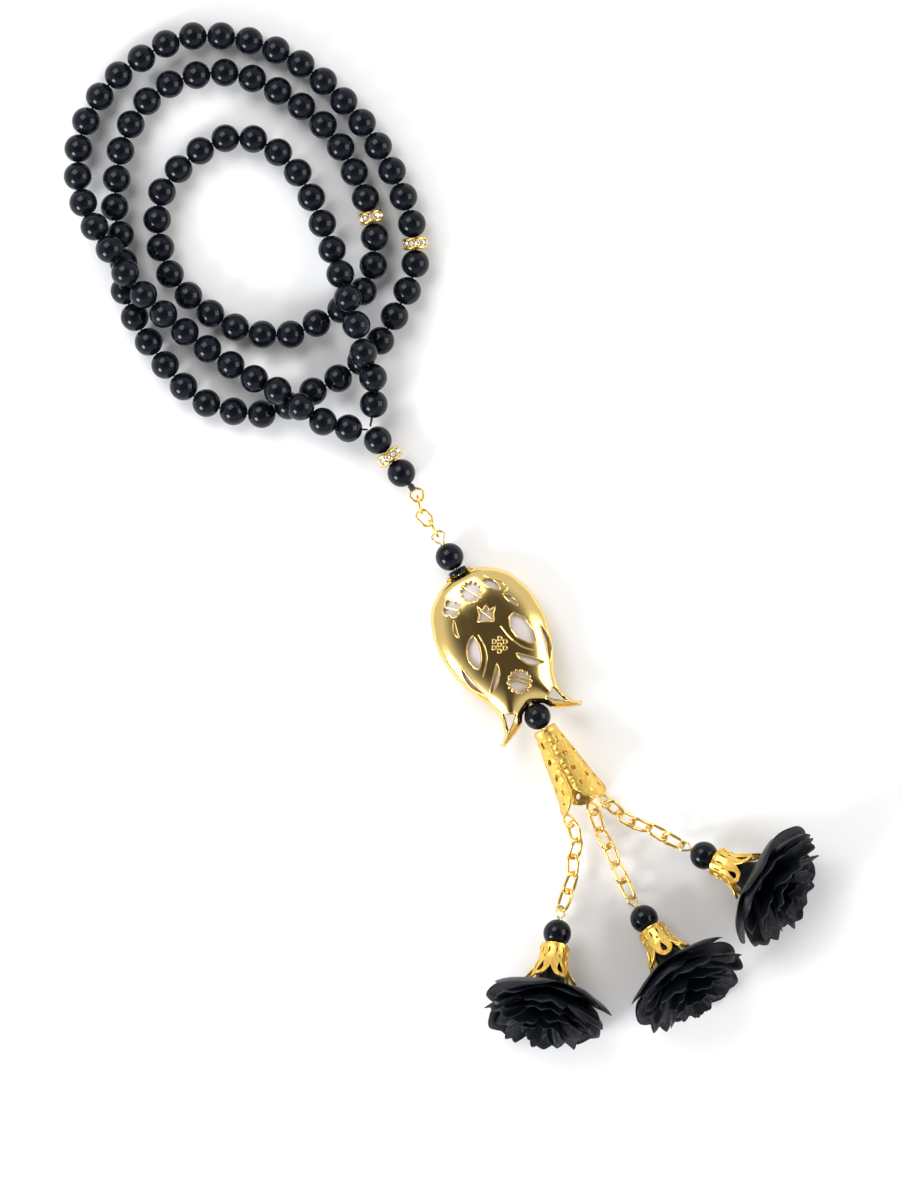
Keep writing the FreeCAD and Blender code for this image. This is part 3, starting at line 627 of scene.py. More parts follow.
lone_bead(bead_model, "counting_bead", line.spot(counting_at), line.way(counting_at), "counting_bead")
for name in ("head_bead", "tail_bead"):
    lone_bead(bead_model, name, *line_of(name + "_spin"), name)
SIDES = ("left", "middle", "right")
EYE_BORE = 2.8
WIRE = 0.8
BEAD_AT = EYE_BORE / 2 + WIRE + BEAD / 2 + 0.1
eye, way = line_of("pendant_spin")
lone_bead(bead_model, "top_bead", eye + way * BEAD_AT * MM, way, "pendant_top_bead")
LOW_BEAD_AT = 56.7
lone_bead(low_bead_model, "low_bead", eye + way * LOW_BEAD_AT * MM, way, "pendant_low_bead")
for side in SIDES:
    eye, way = line_of(side + "_tassel_bell_spin")
    lone_bead(bead_model, side + "_bead", eye + way * BEAD_AT * MM, way, side + "_tassel_bead")
retire(bead_model, low_bead_model)

# %% [markdown]
# ## Jewelled rings
# A rondelle is a small brass channel ring with a row of foil-backed stones clamped in it. The channel is a
# turned part: its outline is spun about the line. Each stone is an eight-sided drum whose top is inset and
# drawn up into a crown, and a grain of metal holds it at each side.

# %% Turned parts
def turned(name, corners, steps=64):
    """Spin a closed outline of (radius, height) corners about Z, in millimetres."""
    bpy.ops.mesh.primitive_circle_add(vertices=len(corners), radius=1)
    piece = bpy.context.object
    piece.name = name
    for point, (radius, height) in zip(piece.data.vertices, corners):
        point.co = (radius, 0, height)
    pick(piece, "EDGE", everything)
    bpy.ops.mesh.spin(steps=steps, angle=math.tau, center=(0, 0, 0), axis=(0, 0, 1))
    leave()
    tidy(piece)
    return piece


# %% Rondelle
RONDELLE = 7.0
CHANNEL = 4.6
STONES = 11
rim = RONDELLE / 2
ring_model = turned("ring_model", [
    (BORE / 2, -1.6), (rim - 0.25, -1.6), (rim, -1.42), (rim, -1.0), (rim - 0.2, -0.8), (CHANNEL / 2, -0.8),
    (CHANNEL / 2, 0.8), (rim - 0.2, 0.8), (rim, 1.0), (rim, 1.42), (rim - 0.25, 1.6), (BORE / 2, 1.6)])
modify(ring_model, "BEVEL", width=0.06, segments=2, limit_method="ANGLE")
grains = [ring_model]
for index in range(STONES * 2):
    turn = math.tau * (index // 2 + 0.5) / STONES
    height = 0.62 if index % 2 else -0.62
    bpy.ops.mesh.primitive_ico_sphere_add(
        subdivisions=2, radius=0.24, location=((rim - 0.16) * math.cos(turn), (rim - 0.16) * math.sin(turn),
                                               height))
    grains.append(settle(bpy.context.object))
ring_model = joined(grains, "ring_model")
smooth(ring_model, 35)
bpy.ops.mesh.primitive_cylinder_add(vertices=8, radius=0.76, depth=0.5, end_fill_type="NGON")
stone = bpy.context.object
pick(stone, "FACE", lambda spot: spot.z > 0.2)
bpy.ops.mesh.inset(thickness=0.28, depth=0.26)
leave()
pick(stone, "FACE", lambda spot: spot.z < -0.2)
bpy.ops.mesh.inset(thickness=0.35, depth=0.2)
leave()
stones = []
for index in range(STONES):
    out = Matrix.Rotation(math.tau * index / STONES, 4, "Z") @ Matrix.Translation((rim - 0.55, 0, 0))
    stones.append(copied(stone, "stone", out @ Matrix.Rotation(math.pi / 2, 4, "Y")))
stones_model = joined(stones, "stones_model")
for number, (spot, way) in enumerate(rings, start=1):
    body = "rondelle_%d" % number
    if number < 3:
        along = line.nearest(spot)
        spot, way = line.spot(along), line.way(along)
    place = stand(spot, way, 12 * number)
    finish(copied(ring_model, body + "_channel", place), ring_gold, "gold_rondelle", body, body + "_ring")
    finish(copied(stones_model, body + "_jewels", place), cut_stone, "clear_stones", body, body + "_stones")
retire(ring_model, stone, stones_model)
print("three rings of", STONES, "stones")

# %% [markdown]
# ## Knot
# Both ends of the thread pass through the head bead, the third ring and the tail bead, and are tied off in a
# tight knot that holds a small wire eye. The knot is a few turns of thread wound on each other, which a short
# stack of rings shows well at this size.

# %% Knot and head thread
head_spot, head_way = line_of("tail_bead_spin")
knot_at = head_spot + head_way * (BEAD / 2 + 0.1) * MM
knot_place = stand(knot_at, head_way)
coils = []
for height, tilt in ((0.35, 14), (0.85, -10), (1.3, 18), (1.6, -12)):
    bpy.ops.mesh.primitive_torus_add(major_radius=0.62, minor_radius=0.30, major_segments=28,
                                     minor_segments=10, location=(0, 0, height),
                                     rotation=(math.radians(tilt), 0, 0))
    coils.append(settle(bpy.context.object))
bpy.ops.mesh.primitive_uv_sphere_add(segments=20, ring_count=12, radius=0.72, location=(0, 0, 0.95))
knot = joined(coils + [settle(bpy.context.object)], "knot")
smooth(knot)
knot.data.transform(knot_place)
finish(knot, black_thread, "thread_black", "strand", "thread_knot")
frame["nodes"]["head_thread"].data.materials.clear()
frame["nodes"]["head_thread"].data.materials.append(black_thread)

# %% [markdown]
# ## Wire work
# The chains are curb links: rings of round wire drawn out long, then given a slight twist so that each lies
# flat against the next. A ring becomes a long link when its two halves are pulled apart. The pins are the same
# wire bent into a drop-shaped eye, with two turns of wire round the neck.

# %% Links
def long_link(name, length, width, wire, twist):
    """Long link in the XZ plane, twisted a little from end to end, in millimetres."""
    bend = (width - wire) / 2
    straight = length / 2 - width / 2
    bpy.ops.mesh.primitive_torus_add(major_radius=bend, minor_radius=wire / 2, major_segments=40,
                                     minor_segments=12, rotation=(math.pi / 2, 0, 0))
    link_piece = bpy.context.object
    link_piece.name = name
    link_piece.data.transform(Matrix.Rotation(math.pi / 2, 4, "X") @ Matrix.Rotation(math.pi / 40, 4, "Z"))
    link_piece.matrix_basis = Matrix.Identity(4)
    for sign in (1, -1):
        pick(link_piece, "VERT", lambda spot: spot.z * sign > 0)
        bpy.ops.transform.translate(value=(0, 0, straight * sign))
        leave()
    for point in link_piece.data.vertices:
        turn = math.radians(twist) * point.co.z / (length / 2)
        point.co = Matrix.Rotation(turn, 3, "Z") @ point.co
    smooth(link_piece)
    return link_piece


def link_axes(name, following):
    """A link's pivot, right side, normal and line, from its own joint and the next one."""
    pivot, normal = line_of(name)
    way = (line_of(following)[0] - pivot).normalized()
    return pivot, normal.cross(way), normal, way


CURB_WIRE = 0.95
SMALL_LINK = (5.8, 4.0)        # length and width
CURB_LINK = (7.2, 4.6)
CURB_SPREAD = 0.1              # the twisted wire is that much wider
small_link = long_link("small_link", *SMALL_LINK, WIRE, 6)
hanger = ("link_1_swing", "link_2_swing", "oval_ring_swing", "pendant_pin_swing")
for name, following in zip(hanger, hanger[1:]):
    pivot, right, normal, way = link_axes(name, following)
    centre = pivot + way * (SMALL_LINK[0] / 2 - SMALL_LINK[1] / 2) * MM
    label = name.replace("_swing", "")
    finish(copied(small_link, label + "_wire", axes(centre, right, normal, way)), chain_gold, "gold_wire",
           label, label)
curb_link = long_link("curb_link", CURB_LINK[0], CURB_LINK[1] + CURB_SPREAD, CURB_WIRE, 9)
for side in SIDES:
    chain = ["%s_chain_link_%d_swing" % (side, number) for number in range(1, 6)] + [side + "_tassel_swing"]
    for name, following in zip(chain, chain[1:]):
        pivot, right, normal, way = link_axes(name, following)
        centre = pivot + way * (CURB_LINK[0] / 2 - CURB_LINK[1] / 2) * MM
        label = name.replace("_swing", "")
        finish(copied(curb_link, label + "_wire", axes(centre, right, normal, way)), chain_gold, "gold_wire",
               label, label)
retire(small_link, curb_link)


# %% Eye pins
def ring_of_wire(bore, wire):
    """Round eye in the XZ plane, in millimetres."""
    bpy.ops.mesh.primitive_torus_add(major_radius=(bore + wire) / 2, minor_radius=wire / 2, major_segments=36,
                                     minor_segments=12)
    eye_piece = bpy.context.object
    eye_piece.data.transform(Matrix.Rotation(math.pi / 2, 4, "X"))
    return eye_piece


def eye_pin(name, reach, head):
    """Drop-shaped eye, wound neck, straight shaft and flat head along Z, in millimetres."""
    eye_piece = ring_of_wire(EYE_BORE, WIRE)
    for point in eye_piece.data.vertices:
        share = max(point.co.z, 0) / (EYE_BORE / 2 + WIRE)
        point.co.x *= 1 - 0.45 * share
    start = EYE_BORE / 2 + WIRE * 0.4
    corners = [(0.02, start), (0.5, start), (0.5, reach), (1.25, reach), (1.3, reach + 0.2),
               (1.1, reach + head), (0.02, reach + head)]
    shaft = turned("shaft", corners, 20)
    turns = []
    for height in (EYE_BORE / 2 + WIRE * 0.75, EYE_BORE / 2 + WIRE * 1.05):
        bpy.ops.mesh.primitive_torus_add(major_radius=0.55, minor_radius=0.2, major_segments=24,
                                         minor_segments=8)
        coil = bpy.context.object
        coil.data.transform(Matrix.Translation((0, 0, height)) @ Matrix.Rotation(0.14, 4, "X"))
        turns.append(coil)
    pin = joined([eye_piece, shaft] + turns, name)
    smooth(pin, 40)
    return pin


CAP_AT = 10.2
tassel_pin = eye_pin("tassel_pin", CAP_AT + 0.94, 0.8)
for side in SIDES:
    name = side + "_tassel_pin"
    spot, normal = line_of(side + "_tassel_swing")
    way = line_of(side + "_tassel_bell_spin")[1]
    finish(copied(tassel_pin, name + "_wire", axes(spot, normal.cross(way), normal, way)), pale_wire,
           "gold_wire", name, name)
CONE_AT = 60.5
long_pin = eye_pin("long_pin", CONE_AT + 0.94, 0.8)
spot, normal = line_of("pendant_pin_swing")
pin_way = line_of("pendant_spin")[1]
pin_place = axes(spot, normal.cross(pin_way), normal, pin_way)
finish(copied(long_pin, "pendant_pin_wire", pin_place), pale_wire, "gold_wire", "pendant_pin", "pendant_pin")
knot_eye = ring_of_wire(EYE_BORE, WIRE)
knot_eye.name = "knot_eye"
knot_eye.data.transform(knot_place @ Matrix.Translation((0, 0, 1.9 + EYE_BORE / 2 + 0.2)))
smooth(knot_eye)
finish(knot_eye, chain_gold, "gold_wire", "strand")
washer = turned("spacer_washer", [(0.6, 10.22), (2.4, 10.2), (2.7, 10.5), (2.7, 11.5), (2.4, 11.8),
                                  (0.6, 11.78)])
modify(washer, "BEVEL", width=0.12, segments=2, limit_method="ANGLE")
smooth(washer, 40)
washer.data.transform(stand(spot, pin_way))
finish(washer, bead_glass, "black_bead", "pendant_spacer", "pendant_spacer")
retire(tassel_pin, long_pin)
print("18 links, four pins, one knot eye")

# %% [markdown]
# ## The tulip
# The pendant is two mirror-polished gold half shells, pressed to a puffed tulip with two outward-curling horns
# and pierced all over. Half of its outline is drawn with a few points and a smooth curve. A grid is stretched
# between the middle line and the outline, and each point then rises by how far it is from the edge, which
# gives a full round belly and slimmer horns in one rule.

# %% Outline
OUTER = ((0.6, 0.0), (3.9, 0.3), (7.6, 1.7), (11.8, 5.2), (14.2, 10.0), (15.4, 15.6), (15.3, 21.6),
         (14.1, 27.2), (12.2, 32.0), (10.2, 36.0), (9.3, 39.6), (9.6, 42.6), (10.8, 45.4), (12.9, 47.2))
INNER = ((0.0, 0.0), (0.0, 0.6), (0.0, 2.3), (0.0, 5.6), (0.0, 10.2), (0.0, 15.6), (0.0, 21.2),
         (0.0, 26.2), (0.0, 30.8), (0.0, 35.4), (0.0, 40.4), (3.2, 42.4), (5.6, 45.2), (12.1, 47.9))
BELLY = 5.3
FALL = 15.4


def curve_through(points, share):
    """Smooth curve through given points, at a share of the way."""
    place = share * (len(points) - 1)
    index = min(int(place), len(points) - 2)
    part = place - index
    four = [np.array(points[min(max(index + step, 0), len(points) - 1)]) for step in (-1, 0, 1, 2)]
    return 0.5 * (2 * four[1] + (four[2] - four[0]) * part
                  + (2 * four[0] - 5 * four[1] + 4 * four[2] - four[3]) * part ** 2
                  + (3 * four[1] - four[0] - 3 * four[2] + four[3]) * part ** 3)


edge = [curve_through(OUTER, step / 130) for step in range(131)]
edge += [curve_through(INNER, step / 130) for step in range(130, 99, -1)]
edge = np.array([spot for spot in edge if spot[0] > 0.3])


def belly_height(x, down):
    """How far the shell stands above its parting plane, by the distance from the outline."""
    from_edge = np.min(np.hypot(edge[:, 0] - abs(x), edge[:, 1] - down))
    short = 1 - min(from_edge / FALL, 1)
    return BELLY * math.sqrt(1 - short * short)


# %% Half shell
ACROSS = 26
DOWN = 120
bpy.ops.mesh.primitive_grid_add(x_subdivisions=ACROSS, y_subdivisions=DOWN, size=2)
shell = bpy.context.object
shell.name = "shell"
for point in shell.data.vertices:
    share = (point.co.y + 1) / 2
    out = (point.co.x + 1) / 2
    inner = curve_through(INNER, share)
    inner[0] = max(inner[0], 0)
    spot = inner + (curve_through(OUTER, share) - inner) * math.sin(out * math.pi / 2)
    on_edge = out > 0.999 or share > 0.999 or share < 0.001 or (share > 0.775 and out < 0.001)
    point.co = (spot[0], 0 if on_edge else belly_height(*spot), spot[1])
modify(shell, "MIRROR", use_axis=(True, False, False), merge_threshold=0.02)
tidy(shell, 0.01)
if sum(face.normal.y for face in shell.data.polygons) < 0:
    pick(shell, "FACE", everything)
    bpy.ops.mesh.flip_normals()
    leave()
pick(shell, "VERT", lambda spot: spot.y > 0.4)
bpy.ops.mesh.vertices_smooth(factor=0.5, repeat=6, xaxis=False, yaxis=True, zaxis=False)
leave()
skin = BVHTree.FromObject(shell, bpy.context.evaluated_depsgraph_get())


def skin_height(x, down):
    """Height of the shell over a place in its plane."""
    hit = skin.ray_cast(Vector((x, 20, down)), Vector((0, -1, 0)))[0]
    return hit.y if hit is not None else 0.0


LINER_PLACE = Matrix.Translation((0, 0, 1.0)) @ Matrix.Diagonal((0.92, 0.80, 0.94, 1))
LINER_END = 38.6
lining = copied(shell, "lining", LINER_PLACE)
pick(lining, "FACE", everything)
bpy.ops.mesh.bisect(plane_co=(0, 0, LINER_END), plane_no=(0, 0, 1), clear_outer=True, use_fill=True)
leave()
lining = joined([lining, copied(lining, "lining_back", Matrix.Rotation(math.pi, 4, "Z"))], "tulip_lining")
tidy(lining, 0.02)
smooth(lining, 50)
print("half shell:", len(shell.data.polygons), "faces")

# %% [markdown]
# ## Piercing
# The openings are flowers, buds and pairs of slim leaves. Each is an outline in the plane of the pendant,
# worked out from a few words: where it is, how large, how many lobes. An outline becomes a punch by extrusion,
# the punches are taken away from the shell in one boolean, and the same outlines, laid on the shell, become
# thin raised rims of wire, because the real openings have a bright turned edge.

# %% Outlines of openings
def daisy(x, down, radius, teeth, depth=0.13, count=72):
    """Round opening with a scalloped edge."""
    spots = []
    for index in range(count):
        turn = math.tau * index / count
        reach = radius * (1 - depth + depth * abs(math.cos(teeth / 2 * turn)) * 1.6 - depth * 0.6)
        spots.append((x + reach * math.cos(turn), down + reach * math.sin(turn)))
    return spots


def leaf(start, end, width, bow=0.0, blunt=0.75, count=32):
    """Pointed or blunt leaf from start to end, bowed sideways."""
    start, end = Vector(start), Vector(end)
    along = end - start
    side = Vector((-along.y, along.x)).normalized()
    spots = []
    for sign in (1, -1):
        for index in range(count // 2):
            share = index / (count // 2)
            share = share if sign > 0 else 1 - share
            swell = math.sin(math.pi * share) ** blunt
            spot = start + along * share + side * (bow * math.sin(math.pi * share) + sign * width / 2 * swell)
            spots.append((spot.x, spot.y))
    return spots


def hole(x, down, wide, tall, turn=0.0, count=28):
    """Round or oval opening."""
    lean = math.radians(turn)
    spots = []
    for index in range(count):
        angle = math.tau * index / count
        right, low = wide * math.cos(angle), tall * math.sin(angle)
        spots.append((x + right * math.cos(lean) - low * math.sin(lean),
                      down + right * math.sin(lean) + low * math.cos(lean)))
    return spots


def laid(spots, x, down, degrees):
    """An outline round the origin, turned and brought to its place."""
    lean = math.radians(degrees)
    return [(x + (a * math.cos(lean) - b * math.sin(lean)),
             down + (a * math.sin(lean) + b * math.cos(lean))) for a, b in spots]


small_tulip = [(-2.3, 2.1), (-1.9, 0.2), (-2.4, -2.1), (-0.9, -1.0), (0.1, -2.5), (1.1, -1.0), (2.6, -2.1),
               (2.0, 0.2), (2.2, 2.1)]
bud_right = [(-1.2, -5.0), (0.6, -5.4), (2.2, -2.6), (2.4, 1.2), (1.2, 4.9), (-0.6, 4.2), (-2.5, 1.0),
             (-2.6, -2.6)]
OPENINGS = [
    daisy(0.5, 5.9, 3.2, 12),
    daisy(-6.4, 7.4, 2.7, 4, 0.2),
    leaf((-7.4, 10.6), (-8.6, 15.6), 1.0, 0.5),
    leaf((4.6, 4.4), (7.9, 9.2), 2.4, -0.4, 0.6),
    leaf((8.0, 10.6), (9.9, 15.4), 1.4, -0.3),
    laid(small_tulip, 1.2, 13.3, 28),
    leaf((-4.9, 16.9), (-8.1, 25.8), 3.9, 0.5, 0.65),
    leaf((-12.1, 22.8), (-9.9, 32.6), 1.7, 0.8),
    leaf((-2.7, 26.8), (-8.7, 33.4), 1.7, -0.7),
    laid(bud_right, 8.1, 22.0, -6),
    leaf((13.0, 22.8), (10.3, 33.4), 1.7, -0.8),
    leaf((3.3, 26.9), (9.2, 32.8), 2.2, 0.8),
    daisy(0.3, 34.2, 3.4, 14),
    [(-8.1, 39.4), (-4.4, 41.5), (-6.5, 43.4), (-9.6, 45.1)],
    [(8.1, 39.4), (4.4, 41.5), (6.5, 43.4), (9.6, 45.1)],
]
ROSETTE = (0.4, 22.6)
OPENINGS.append(hole(*ROSETTE, 0.55, 0.55, count=16))
for petal in range(6):
    turn = math.tau * petal / 6
    OPENINGS.append(hole(ROSETTE[0] + 1.75 * math.cos(turn), ROSETTE[1] + 1.75 * math.sin(turn), 0.55, 0.55,
                         count=16))
STEMS = [[(-3.4, 17.4), (-3.4, 20.2), (-4.2, 23.6), (-6.2, 26.4), (-8.0, 28.2)],
         [(3.2, 18.2), (4.0, 22.4), (5.6, 26.0), (7.9, 28.4)],
         [(5.9, 3.6), (7.2, 5.4), (9.4, 7.6), (9.9, 9.8), (8.3, 10.2)]]
BARS = [((-1.1, 3.0), (2.3, 8.8)), ((-1.6, 32.0), (2.2, 36.4)), ((-0.8, 31.4), (3.0, 35.8)),
        ((-8.3, 5.6), (-4.5, 9.2)), ((0.2, 11.2), (2.2, 15.4))]


# %% Punches and rims
def punch(outline, foot, push=(0, 0, 0), spread=1.0):
    """Closed tool for one opening: its outline at the foot, extruded outwards."""
    bpy.ops.mesh.primitive_circle_add(vertices=len(outline), radius=1, fill_type="NGON")
    tool = bpy.context.object
    for corner, spot in zip(tool.data.vertices, outline):
        corner.co = foot(*spot)
    pick(tool, "FACE", everything)
    bpy.ops.mesh.extrude_region_move(TRANSFORM_OT_translate={"value": push})
    if spread != 1.0:
        bpy.ops.transform.resize(value=(spread, spread, 1), center_override=(0, 0, 0))
    bpy.ops.mesh.select_all(action="SELECT")
    bpy.ops.mesh.normals_make_consistent(inside=False)
    bpy.ops.mesh.quads_convert_to_tris()
    leave()
    return tool


def pierce(piece, tools):
    """Take the tools away from the piece, and put them away."""
    whole = joined(tools, "punches")
    modify(piece, "BOOLEAN", operation="DIFFERENCE", object=whole, solver="EXACT")
    retire(whole)


def wire_along(name, lines, thick, closed=True):
    """Round wire along lines of points, as one mesh."""
    shape = bpy.data.curves.new(name, "CURVE")
    shape.dimensions = "3D"
    shape.bevel_depth = thick / 2
    shape.bevel_resolution = 2
    shape.use_fill_caps = True
    for spots in lines:
        run = shape.splines.new("POLY")
        run.points.add(len(spots) - 1)
        for point, spot in zip(run.points, spots):
            point.co = (*spot, 1)
        run.use_cyclic_u = closed
    piece = bpy.data.objects.new(name, shape)
    bpy.context.scene.collection.objects.link(piece)
    alone(piece)
    bpy.ops.object.convert(target="MESH")
    smooth(piece)
    return piece


def on_skin(x, down, lift=0.02):
    """Point on the shell above a place in its plane."""
    return Vector((x, skin_height(x, down) + lift, down))


def fine(points, per_leg=3):
    """More points on the straight legs of an outline, so that it can follow a curved skin."""
    return [(a[0] + (b[0] - a[0]) * step / per_leg, a[1] + (b[1] - a[1]) * step / per_leg)
            for a, b in zip(points, points[1:] + points[:1]) for step in range(per_leg)]


# %% Front and back shell
WALL = 0.7
alone(shell)
bpy.ops.object.mode_set(mode="EDIT")
bpy.ops.mesh.select_mode(type="EDGE")
bpy.ops.mesh.select_all(action="DESELECT")
bpy.ops.mesh.select_non_manifold(extend=False)
bpy.ops.mesh.edge_face_add()
leave()
pierce(shell, [punch(outline, lambda x, down: (x, -2, down), push=(0, 14, 0)) for outline in OPENINGS])
pick(shell, "FACE", lambda spot: spot.y < 0.004 or skin_height(spot.x, spot.z) - spot.y > 0.05)
bpy.ops.mesh.delete(type="FACE")
leave()
modify(shell, "SOLIDIFY", thickness=WALL, offset=-1.0, use_even_offset=False)
for point in shell.data.vertices:
    point.co.y = max(point.co.y, 0.0)
smooth(shell, 32)
FEW = 12                       # an outline with fewer points is refined before it is laid on the skin
rims = wire_along("rims", [[on_skin(*spot) for spot in (fine(outline) if len(outline) < FEW else outline)]
                           for outline in OPENINGS], 0.42)
stems = wire_along("stems", [[on_skin(*curve_through(stem, step / 16)) for step in range(17)]
                             for stem in STEMS], 0.5, closed=False)
bars = wire_along("bars", [[on_skin(start[0] + (end[0] - start[0]) * step / 8,
                                    start[1] + (end[1] - start[1]) * step / 8, -0.35) for step in range(9)]
                           for start, end in BARS], 0.6, closed=False)
half_tulip = joined([shell, rims, stems, bars], "half_tulip")
TULIP_AT = 11.9
tulip_eye, pin_way = line_of("pendant_spin")
for label, turn in (("front", 0), ("back", 180)):
    place = stand(tulip_eye + pin_way * TULIP_AT * MM, pin_way, turn)
    finish(copied(half_tulip, "tulip_%s_shell" % label, place), tulip_gold, "gold_pendant", "pendant",
           "pendant_%s_shell" % label)
retire(half_tulip)
lining.data.transform(stand(tulip_eye + pin_way * TULIP_AT * MM, pin_way))
finish(lining, pearl_coat, "pearl_liner", "pendant", "pendant_core")
print(len(OPENINGS), "openings in each half of the tulip")

# %% [markdown]
# ## The cone
# Below the low bead three long petals of thin hammered gold are folded into a cone. Each petal is a grid bent
# round the line, with a tongue for a foot, so the edge needs no cutting. The wall is thickened, round and oval
# openings are punched through, and a wire rim is laid along the edges. Petals repeat by a third turn.

# %% Folded petals
PETAL_TURNS = (40, 160, 280)
CONE_LONG = 24.0


def cone_radius(down):
    """Radius of the cone's skin at a distance below its top."""
    share = down / CONE_LONG
    return 3.15 + 3.3 * share + 0.5 * share ** 3


def cone_skin(lean, down, lift=0.0):
    """Point on a petal: degrees from its middle, distance down, and height off the skin."""
    turn = math.radians(lean)
    flat = 1 + 0.10 * min(down / 8, 1) * (1 - math.cos(3 * turn)) / 2
    reach = cone_radius(down) * flat + lift
    return (reach * math.cos(turn), reach * math.sin(turn), down)


def petal_foot(lean):
    """Where the tongue ends at that many degrees from its middle."""
    return CONE_LONG - 0.3 - 6.2 * (abs(lean) / 60) ** 2.4


def seam_lean(down):
    """Half a petal in degrees: the seam opens a little on the way down."""
    return 57.6 - 2.0 * max(down - 4, 0) / CONE_LONG


def petal(name, steps_round, steps_down, skin_at, foot, half_angle):
    """Grid bent into one petal of a shell."""
    bpy.ops.mesh.primitive_grid_add(x_subdivisions=steps_round, y_subdivisions=steps_down, size=2)
    piece = bpy.context.object
    piece.name = name
    for point in piece.data.vertices:
        share = (point.co.y + 1) / 2
        guess = point.co.x * half_angle(share * foot(0))
        down = share * foot(guess)
        point.co = skin_at(point.co.x * half_angle(down), down)
    middle = piece.data.polygons[len(piece.data.polygons) // 2]
    if middle.normal.dot(Vector((middle.center.x, middle.center.y, 0))) < 0:
        pick(piece, "FACE", everything)
        bpy.ops.mesh.flip_normals()
        leave()
    return piece


def inside(radius_at, share):
    """Rule for the foot of a punch, well inside the wall; x is millimetres round from the petal's middle."""
    def foot(x, down):
        reach = radius_at(down)
        turn = x / reach
        return (reach * share * math.cos(turn), reach * share * math.sin(turn), down)
    return foot


def collars_round(outlines, radius_at, skin_at, thick):
    """Wire round each opening, on the skin."""
    return wire_along("collars", [[skin_at(math.degrees(x / radius_at(down)), down) for x, down in outline]
                                  for outline in outlines], thick)


HOLES = [hole(-1.7, 4.2, 0.5, 1.35, 8), hole(1.7, 4.2, 0.5, 1.35, -8), hole(-2.0, 9.2, 0.9, 0.95),
         hole(2.0, 8.8, 0.8, 1.1, 12), hole(-2.6, 13.8, 0.8, 1.05, -14), hole(2.6, 13.4, 0.85, 0.95),
         hole(-3.3, 18.2, 0.65, 1.1, 22), hole(3.3, 18.0, 0.65, 1.0, -20), hole(0.06, 16.63, 0.8, 0.8),
         hole(-1.9, 20.9, 0.6, 0.9, 40), hole(1.9, 20.9, 0.6, 0.9, -40)]
cone_petal = petal("cone_petal", 40, 60, cone_skin, petal_foot, seam_lean)
dimples = Vector((7.3, 1.9, 4.4))
for point in cone_petal.data.vertices:
    bump = noise.noise(point.co * 1.5 + dimples)
    out = Vector((point.co.x, point.co.y, 0)).normalized()
    point.co += out * 0.07 * bump
modify(cone_petal, "SOLIDIFY", thickness=0.55, offset=-1.0)
pierce(cone_petal, [punch(outline, inside(cone_radius, 0.55), spread=2.6) for outline in HOLES])
tidy(cone_petal, 0.0005)
smooth(cone_petal, 40)
border = [cone_skin(-seam_lean(down), down, 0.1) for down in np.linspace(0.3, petal_foot(57), 24)]
border += [cone_skin(lean, petal_foot(lean), 0.1) for lean in np.linspace(-55, 55, 24)]
border += [cone_skin(seam_lean(down), down, 0.1) for down in np.linspace(petal_foot(57), 0.3, 24)]
edging = wire_along("edging", [border], 0.36, closed=False)
collars = collars_round(HOLES, cone_radius, cone_skin, 0.24)
whole_petal = joined([cone_petal, edging, collars], "whole_petal")
thirds = [copied(whole_petal, "third", Matrix.Rotation(math.radians(turn), 4, "Z")) for turn in PETAL_TURNS]
lid = turned("lid", [(0.62, 0.0), (3.0, 0.0), (3.35, 0.25), (3.4, 1.5), (3.2, 1.9), (2.7, 1.9), (2.7, 0.8),
                     (0.62, 0.8)])
modify(lid, "BEVEL", width=0.08, segments=2, limit_method="ANGLE")
smooth(lid, 40)
EYE_TURN = -45
EYE_REACH = 7.0 - 0.35         # the foot's radius, to the middle of the wall
EYE_DROP = 1.8
for turn in PETAL_TURNS:
    eye_piece = ring_of_wire(EYE_BORE, WIRE)
    spot = Vector((EYE_REACH * math.cos(math.radians(turn)), EYE_REACH * math.sin(math.radians(turn)),
                   CONE_LONG + EYE_DROP))
    eye_piece.data.transform(Matrix.Translation(spot) @ Matrix.Rotation(math.radians(EYE_TURN), 4, "Z"))
    smooth(eye_piece)
    thirds.append(eye_piece)
cone = joined(thirds + [lid], "cone_petals")
cone.data.transform(stand(tulip_eye + pin_way * CONE_AT * MM, pin_way))
finish(cone, hammered_gold, "gold_filigree", "cone", "cone")
retire(whole_petal)
print("cone:", len(cone.data.polygons), "faces")

# %% [markdown]
# ## Bell caps
# Above each flower sits a gold cap: a collar with small upright slots, a waist, and six rounded petals that
# flare out, each with a drop-shaped opening. It is made as the cone was, one petal bent, thickened, punched
# and edged, then turned six times.

# %% Caps
CAP_LONG = 10.5
SIXTH = 60


def cap_radius(down):
    """Radius of the cap's skin: collar, waist and flare."""
    share = down / CAP_LONG
    return 4.05 - 0.9 * share * (1 - share) + 0.2 * share + 2.9 * share ** 2.6


def cap_skin(lean, down, lift=0.0):
    """Point on the cap's skin."""
    turn = math.radians(lean)
    reach = cap_radius(down) + lift
    return (reach * math.cos(turn), reach * math.sin(turn), down)


def cap_lean(down):
    """Half a cap petal in degrees: whole at the collar, round at the tip."""
    if down < 4.6:
        return SIXTH / 2
    waist = min(2.35, cap_radius(4.6) * math.radians(SIXTH / 2))
    part = (down - 4.6) / (CAP_LONG - 4.6)
    width = waist * math.sqrt(max(1 - part ** 3.2, 0.0)) * (1 + 0.1 * math.sin(math.pi * part))
    return math.degrees(width / cap_radius(down))


